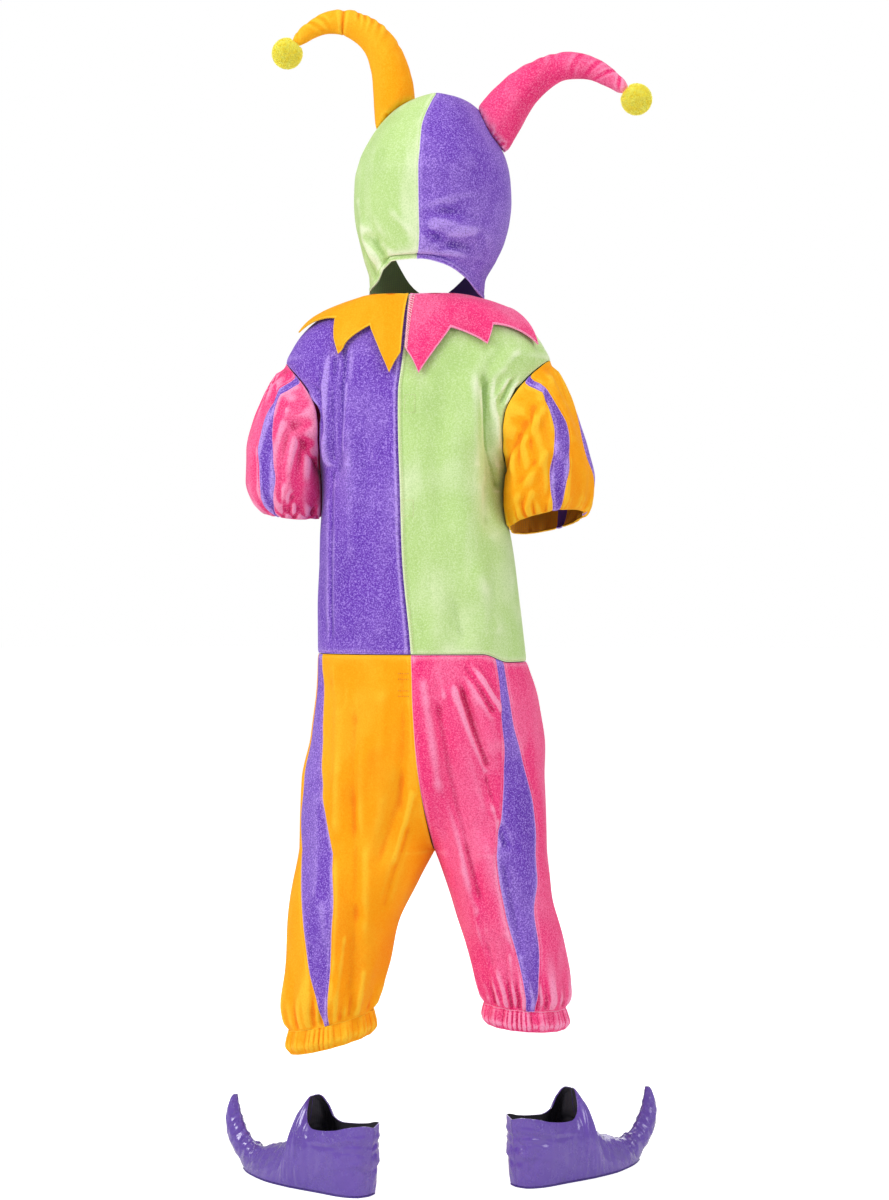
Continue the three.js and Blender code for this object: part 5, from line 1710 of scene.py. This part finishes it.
flexed = ramp(vinyl_film, cloth_noise(vinyl_film, 26.0, 1.0), 0.5, 0.62)
line = reckon(vinyl_film, "MULTIPLY", line, flexed)
film_height = reckon(vinyl_film, "ADD", line, reckon(vinyl_film, "MULTIPLY", film_grain, 0.02))
finish_group(vinyl_film, film_out, film_colour, film_rough, film_height)

vinyl_purple = make_material(
    "vinyl_purple", vinyl_film,
    {"Colour": (0.128, 0.06, 0.4, 1), "Worn Colour": (0.16, 0.085, 0.46, 1), "Gloss": 0.26},
    0.4, 0.0012, {"Specular IOR Level": 0.5, "Coat Weight": 0.7, "Coat Roughness": 0.12},
)
# The inside of the vinyl is coloured near black.
vinyl_inside_black = make_material(
    "vinyl_inside_black", knit_back, {"Colour": (0.02, 0.015, 0.03, 1), "Rib Size": 0.9}, 0.4, 0.0004,
)
sole_purple = make_material(
    "sole_purple", vinyl_film,
    {
        "Colour": (0.06, 0.025, 0.24, 1), "Worn Colour": (0.11, 0.06, 0.32, 1), "Gloss": 0.55,
        "Wrinkle Size": 3.0,
    },
    0.3, 0.0006,
)

SHOE = table(
    ["station", "low_y", "low_z", "top_y", "top_z", "low_half", "top_half", "bulge", "round"],
    [
        [0, -27, 0, -35, 76, 0.3, 0.3, 0, 0],
        [1, -24, 0, -30, 79, 12, 13, 2, 0],
        [2, -14, 0, -16, 77, 20, 22, 3, 0],
        [3, 2, 0, 2, 72, 25, 26, 4, 0],
        [4, 22, 0, 22, 69, 27, 27, 4, 0],
        [5, 38, 0, 38, 68, 29, 25, 4, 0.1],
        [6, 52, 0, 50, 73, 31, 22, 5, 0.2],
        [7, 62, 0, 56, 90, 32, 16, 6, 0.3],
        [8, 70, 0, 61, 100, 33, 7, 7, 0.4],
        [9, 77, 0, 64, 99, 33, 0.3, 8, 0.5],
        [10, 85, 0, 68, 76, 33, 0.3, 5, 0.7],
        [11, 94, 0, 74, 59, 33, 0.3, 2, 0.9],
        [12, 108, 0, 90, 47, 32, 0.3, 0, 1],
        [13, 126, 0, 114, 37, 28, 0.3, 0, 1],
        [14, 145, 0, 136, 30, 22, 0.3, 0, 1],
        [15, 161, 0, 150, 27, 15, 0.3, 2, 1],
        [16, 174, 1, 162, 31, 7, 0.3, 7, 0.8],
        [17, 187, 8, 172, 38, 0.3, 0.3, 11, 0],
        [18, 198, 19, 180, 48, 0.3, 0.3, 11, 0],
        [19, 206, 33, 186, 60, 0.3, 0.3, 10, 0],
        [20, 209, 49, 189, 70, 0.3, 0.3, 8.5, 0],
        [21, 206, 66, 191, 77, 0.3, 0.3, 6, 0],
        [22, 198, 82, 192, 82, 0.3, 0.3, 3.5, 0],
    ],
)

# Creases across the shoe: station, lean over the height, width in stations, low and high
# end as shares of the height, and height in millimetres.
SHOE_CREASES = [
    [9.6, 1.2, 0.25, 0.25, 0.95, -1.3],
    [10.5, 1.6, 0.22, 0.15, 0.9, 1.1],
    [11.2, 1.4, 0.25, 0.2, 1.0, -1.2],
    [12.1, 0.8, 0.2, 0.3, 1.0, 0.9],
    [12.9, -0.4, 0.22, 0.25, 1.0, -1.1],
    [13.8, -0.8, 0.2, 0.2, 1.0, 0.9],
    [14.4, -0.5, 0.18, 0.3, 1.0, -1.0],
    [15.1, 0.4, 0.2, 0.1, 1.0, -1.2],
    [15.8, 0.2, 0.16, 0.3, 1.0, 0.9],
    [16.4, -0.3, 0.16, 0.2, 1.0, -1.1],
    [17.1, 0.2, 0.15, 0.3, 1.0, 0.8],
    [17.7, -0.2, 0.16, 0.35, 1.0, -1.0],
    [18.5, 0.2, 0.16, 0.3, 1.0, -0.9],
    [19.4, -0.2, 0.18, 0.35, 1.0, -0.8],
    [20.3, 0.2, 0.2, 0.4, 1.0, -0.6],
    [10.0, 2.4, 0.12, 0.4, 1.0, 1.4],
    [10.9, 2.2, 0.12, 0.4, 1.0, -1.3],
    [11.7, 1.8, 0.11, 0.45, 1.0, 1.3],
    [12.5, 1.0, 0.11, 0.4, 1.0, -1.3],
    [13.3, 0.2, 0.1, 0.35, 1.0, 1.3],
    [14.1, -0.6, 0.1, 0.35, 1.0, 1.2],
    [14.8, -0.8, 0.1, 0.4, 1.0, 1.2],
    [15.5, 0.3, 0.1, 0.3, 1.0, 1.1],
    [16.9, 0.2, 0.1, 0.35, 1.0, -1.1],
    [17.4, -0.2, 0.1, 0.35, 1.0, 1.1],
    [18.1, 0.2, 0.11, 0.4, 1.0, 1.0],
    [18.9, -0.2, 0.11, 0.4, 1.0, 0.9],
    [7.2, 1.8, 0.3, 0.05, 0.6, 1.2],
    [6.2, -1.4, 0.3, 0.1, 0.6, -1.1],
    [2.4, 2.4, 0.3, 0.2, 0.7, -1.2],
    [1.3, 2.0, 0.25, 0.15, 0.6, 1.0],
    [3.6, -1.6, 0.3, 0.25, 0.8, 1.0],
]

# Creases round the ankle: share of the height, lean, width, first and last station, height.
ANKLE_CREASES = [
    [0.72, 0.01, 0.035, 0, 5, -1.5],
    [0.83, -0.01, 0.03, 0.5, 6, 1.0],
    [0.58, 0.03, 0.03, 0, 3.2, -1.2],
    [0.46, -0.02, 0.04, 0.4, 3.6, 1.0],
    [0.34, 0.03, 0.035, 0, 2.6, -1.0],
]


def shoe_surface(side):
    def point(station, t):
        quarter = t * math.pi / 2
        up = mix(t, np.sin(quarter), read_at(SHOE, "round", station))
        over = np.maximum(0, np.cos(quarter)) ** 0.9
        half = mix(read_at(SHOE, "top_half", station), read_at(SHOE, "low_half", station), over)
        fullness = np.maximum(0, np.sin(2 * quarter)) ** 0.7
        x = half + read_at(SHOE, "bulge", station) * fullness
        y = mix(read_at(SHOE, "low_y", station), read_at(SHOE, "top_y", station), up)
        z = mix(read_at(SHOE, "low_z", station), read_at(SHOE, "top_z", station), up)
        return np.stack([side * x, y, z + SOLE + SHOE_GAP], axis=-1)

    return point


def shoe_creases(side):
    def relief(station, t, p, edges):
        height = np.zeros(station.shape)
        for at, lean, width, low, high, deep in SHOE_CREASES:
            at = at + 0.15 * side * math.sin(at * 5)
            off = station - at - lean * (t - 0.6)
            reach = smooth(low - 0.12, low + 0.12, t) * (1 - smooth(high - 0.05, high + 0.2, t))
            height += deep * bell(off, width) * reach
        for at, lean, width, first, last, deep in ANKLE_CREASES:
            off = t - at - lean * (station - first)
            reach = smooth(first - 0.8, first + 0.4, station)
            reach = reach * (1 - smooth(last - 1, last + 0.5, station))
            height += deep * bell(off, width) * reach
        ripple = np.sin(station * 5.3 + 9 * t) * np.sin(station * 2.1 - 13 * t + 1)
        height += 0.35 * ripple
        return height * smooth(0, 6, edges[2]) * smooth(0, 3, edges[3] + 1.5 * (station < 9))

    return relief


def keep_side(side):
    def keep(p, t):
        kept = p.copy()
        kept[..., 0] = side * np.maximum(side * p[..., 0], 0.1)
        return kept

    return keep


def place_shoe(piece, x, y, turn_out):
    """Turns the piece about the heel and sets it down, in its own mesh."""
    points = mesh_points(piece.data)
    c, s = math.cos(turn_out * RADIAN), math.sin(turn_out * RADIAN)
    moved = points.copy()
    moved[:, 0] = c * points[:, 0] - s * points[:, 1] + x / 1000
    moved[:, 1] = s * points[:, 0] + c * points[:, 1] + y / 1000
    moved[:, 2] = points[:, 2] - SHOE_DROP
    piece.data.vertices.foreach_set("co", moved.ravel())
    piece.data.update()


def sole_mesh(name):
    """A flat sole with rounded upper and lower edges."""
    stations = np.arange(len(SHOE["low_z"]))[SHOE["low_z"] <= 1]
    at = np.linspace(0, 1, 90) * stations[-1]
    right = np.stack(read_row(SHOE, at, "low_half", "low_y"), axis=1)
    outline = np.concatenate([right, right[::-1] * [-1, 1]])
    middle = outline.mean(axis=0)
    away = outline - middle
    reach = np.maximum(np.linalg.norm(away, axis=1, keepdims=True), 1)
    points, faces = [], []
    for z, inset in ((0, 0.6), (0.35, 0.12), (1.0, 0), (SOLE - 0.35, 0.12), (SOLE, 0.6)):
        ring = middle + away * (1 - inset / reach)
        points += [(px, py, z) for px, py in ring]
    count = len(outline)
    top = 4 * count
    for first in range(0, top, count):
        for i in range(count):
            a, b = first + i, first + (i + 1) % count
            faces.append((a, b, b + count, a + count))
    for i in range(count // 2 - 1):
        mirror = count - 1 - i
        faces.append((i, mirror, mirror - 1, i + 1))
        faces.append((top + i, top + i + 1, top + mirror - 1, top + mirror))
    return make_mesh(name, points, faces, [sole_purple], sharp=math.radians(40))


SHOES = [("left", -61.5, -45, 54), ("right", 139, 20, -41)]
shoe_columns = np.linspace(0, 22, 177)
shoe_rows = seam_lines(90, 34)
for word, x, y, turn_out in SHOES:
    for half_word, side in (("port", -1), ("starboard", 1)):
        node = f"shoe_{word}_{half_word}"
        shell = lay_cloth(
            f"{node}_vinyl", shoe_surface(side), lambda station, t: (station, t),
            shoe_columns, shoe_rows, VINYL, [vinyl_purple, vinyl_inside_black],
            turn=side, step=0.02, rise=0.02, seams=(0.5, 0.5, 0, 0),
            relief=shoe_creases(side), keep=keep_side(side),
        )
        place_shoe(shell, x, y, turn_out)
        dress(shell, node, "vinyl_purple", (0.27, 0.11), 0.0167, [f"shoe_{word}_sole"])
    sole = sole_mesh(f"shoe_{word}_sole_vinyl")
    place_shoe(sole, x, y, turn_out)
    stand_for(sole, f"shoe_{word}_sole", "sole_purple")

# Stitches.
# Overlock down the right back's middle edge, its waist and the pink collar's edge, the squares
# that hold the hook tape, two bar tacks under the waist, and topstitching round the hood's hem.

THREAD_RADIUS = 0.28
THREAD_SIDES = 6

thread_twist, twist_in, twist_out = start_group(
    "thread_twist",
    [
        ("Colour", "colour", (0.8, 0.8, 0.8, 1)),
        ("Shade Colour", "colour", (0.5, 0.5, 0.5, 1)),
        ("Twist Size", "number", 0.7),
    ],
)
twist_place = add_node(thread_twist, "ShaderNodeTexCoord").outputs["Object"]
twist_scale = reckon(thread_twist, "DIVIDE", 160.0, twist_in.outputs["Twist Size"])
plies = add_node(
    thread_twist, "ShaderNodeTexWave", {"Vector": twist_place, "Scale": twist_scale},
    bands_direction="DIAGONAL",
).outputs[1]
fuzz = cloth_noise(thread_twist, 0.6, 2.0)
ply_colour = blend_colours(
    thread_twist, ramp(thread_twist, plies, 0.1, 0.8),
    twist_in.outputs["Shade Colour"], twist_in.outputs["Colour"],
)
ply_rough = ramp(thread_twist, fuzz, 0.3, 0.7, 0.5, 0.75)
finish_group(thread_twist, twist_out, ply_colour, ply_rough, plies)

THREAD_COLOURS = [
    # thread, colour, shade colour
    ("pale", (0.82, 0.84, 0.5, 1), (0.55, 0.62, 0.26, 1)),
    ("white", (1.0, 0.74, 0.76, 1), (0.85, 0.5, 0.56, 1)),
    ("green", (0.66, 0.86, 0.42, 1), (0.42, 0.66, 0.2, 1)),
    ("purple", (0.24, 0.13, 0.5, 1), (0.12, 0.05, 0.3, 1)),
    ("tack", (0.8, 0.26, 0.0, 1), (0.5, 0.13, 0.0, 1)),
]
THREADS = {
    word: make_material(
        f"thread_{word}", thread_twist, {"Colour": colour, "Shade Colour": shade_colour},
        0.5, 0.0002, {"Sheen Weight": 0.2},
    )
    for word, colour, shade_colour in THREAD_COLOURS
}


def thread_place(surface, a, b, across, up, lift, turn=1, step=1e-3, rise=0.05):
    """A place some millimetres across and up from a and b, lifted off the cloth."""
    here = surface(a, b)
    wide = np.linalg.norm(surface(a + step, b) - here, axis=-1) / step
    tall = np.linalg.norm(surface(a, b + rise) - here, axis=-1) / rise
    a = a + across / wide
    b = b + up / tall
    return surface(a, b) + outward_normal(surface, a, b, step, rise) * turn * lift


def sew(name, starts, ends, bow, thread, radius=THREAD_RADIUS):
    """Short stitches as thin tubes that narrow at both ends and bow off the cloth."""
    starts, ends = np.asarray(starts, float), np.asarray(ends, float)
    along = ends - starts
    along /= np.linalg.norm(along, axis=1, keepdims=True)
    side = np.cross(along, bow)
    side /= np.maximum(np.linalg.norm(side, axis=1, keepdims=True), 1e-9)
    up = np.cross(side, along)
    n = THREAD_SIDES
    turn = (np.arange(n) * 2 * math.pi / n)[None, :, None]
    around = np.cos(turn) * side[:, None] + np.sin(turn) * up[:, None]
    rings = []
    for share, girth, rise_by in (
        (0, 0.45, -0.3), (0.25, 1, 0.15), (0.75, 1, 0.15), (1, 0.45, -0.3),
    ):
        middle = starts + (ends - starts) * share + up * rise_by
        rings.append(middle[:, None] + around * radius * girth)
    points = np.stack(rings, axis=1).reshape(-1, 3)
    faces = []
    for first in range(0, len(points), 4 * n):
        for ring in range(first, first + 3 * n, n):
            for i in range(n):
                a, b = ring + i, ring + (i + 1) % n
                faces.append((a, b, b + n, a + n))
        faces.append(tuple(first + i for i in reversed(range(n))))
        faces.append(tuple(first + 3 * n + i for i in range(n)))
    mesh = bpy.data.meshes.new(name)
    mesh.from_pydata((points * 0.001).tolist(), [], faces)
    mesh.materials.append(THREADS[thread])
    shade_smooth(mesh)
    stitches = add_piece(name, mesh)
    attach(stitches, "root")


# Overlock down the green back's middle edge: rungs over the edge and a line beside them.
edge_z = np.arange(WAIST + 4, -4, 3.0)
edge_angle = seam_angle(BODICE, edge_z)
rung_in = thread_place(bodice_point, edge_angle, edge_z, 3.1, 0.9, 0.62)
rung_out = thread_place(bodice_point, edge_angle, edge_z, 0.1, 0, 0.3)
line_low = thread_place(bodice_point, edge_angle, edge_z, 3.4, 0.3, 0.62)
line_high = thread_place(bodice_point, edge_angle, edge_z, 3.4, 2.7, 0.62)
sew(
    "overlock_back", np.concatenate([rung_out, line_low]), np.concatenate([rung_in, line_high]),
    (0, -1, 0), "pale",
)

# The row of stitches along the green back's waist, above the seam to the pink leg.
waist_angle = np.radians(np.arange(2, 84, 1.5))
waist_z = np.full(waist_angle.shape, WAIST + 2.2)
waist_from = thread_place(bodice_point, waist_angle, waist_z, 0, 0, 0.25)
waist_to = thread_place(bodice_point, waist_angle, waist_z, 2.2, 0, 0.25)
sew("overlock_waist", waist_from, waist_to, (0, -1, 0), "pale")

# The pink collar's edge shows the ladder of its overlock from the neck down to the point.
collar_t = np.arange(0.03, 0.98, 0.04)
collar_a = np.full(collar_t.shape, COLLAR_RIGHT["angle"][0] * RADIAN)
pink_collar = collar_surface(1, COLLAR_RIGHT)
ladder_in, ladder_out, rail_low, rail_high, lip_low, lip_high = [
    thread_place(pink_collar, collar_a, collar_t, across, up, lift, rise=0.02)
    for across, up, lift in (
        (4.4, 0, 0.45), (0.3, 0, 0.45), (4.6, -0.9, 0.45), (4.6, 0.9, 0.45),
        (0.5, -0.9, 0.5), (0.5, 0.9, 0.5),
    )
]
sew(
    "overlock_collar", np.concatenate([ladder_out, rail_low, lip_low]),
    np.concatenate([ladder_in, rail_high, lip_high]), (0, -1, 0), "white", 0.5,
)

# Squares of stitches that hold the hook tape under the green back.
TAPES = [(3.4, -116.1, 14.9, -136.1), (0.2, -233.9, 13.8, -251.7)]
tape_from, tape_to = [], []
for x0, z0, x1, z1 in TAPES:
    corners = [(x0, z0), (x1, z0), (x1, z1), (x0, z1), (x0, z0)]
    for (xa, za), (xb, zb) in zip(corners[:-1], corners[1:]):
        count = max(3, round(math.hypot(xb - xa, zb - za) / 2.2))
        for k in range(count):
            for share, spots in ((k + 0.1, tape_from), (k + 0.85, tape_to)):
                x = mix(xa, xb, share / count)
                z = mix(za, zb, share / count)
                angle = back_angle(BODICE, x, z)
                spots.append(thread_place(bodice_point, angle, z, 0, 0, 0.3))
sew("tape_squares", tape_from, tape_to, (0, -1, 0), "pale", 0.3)

# Bar tacks side by side under the waist, at the top of the orange back.
orange_back = leg_surface(LEGS["left"])
tack_z = np.repeat([-427.0, -433.0, -446.0, -452.0], 6)
tack_across = np.tile(np.arange(6) * 2.4 + 3, 4)
tack_u = np.zeros(tack_z.shape)
tack_from, tack_to = [
    thread_place(orange_back, tack_u, tack_z, tack_across + along, 0, 0.3, turn=-1, step=2e-3)
    for along in (0, 1.7)
]
sew("bar_tacks", tack_from, tack_to, (0, -1, 0), "tack", 0.3)

# Topstitching round the hood's hem, 5 mm above its edge.
hem_around = np.radians(np.arange(2, 168, 1.4))
hem_level = np.zeros(hem_around.shape)
for word, side, thread in (("left", -1, "green"), ("right", 1, "purple")):
    hem_from, hem_to = [
        thread_place(hood_surface(side), hem_around, hem_level, along, 5.2, 0.25, turn=side)
        for along in (0, 1.6)
    ]
    sew(f"hem_stitches_{word}", hem_from, hem_to, (0, 0, 1), thread, 0.26)
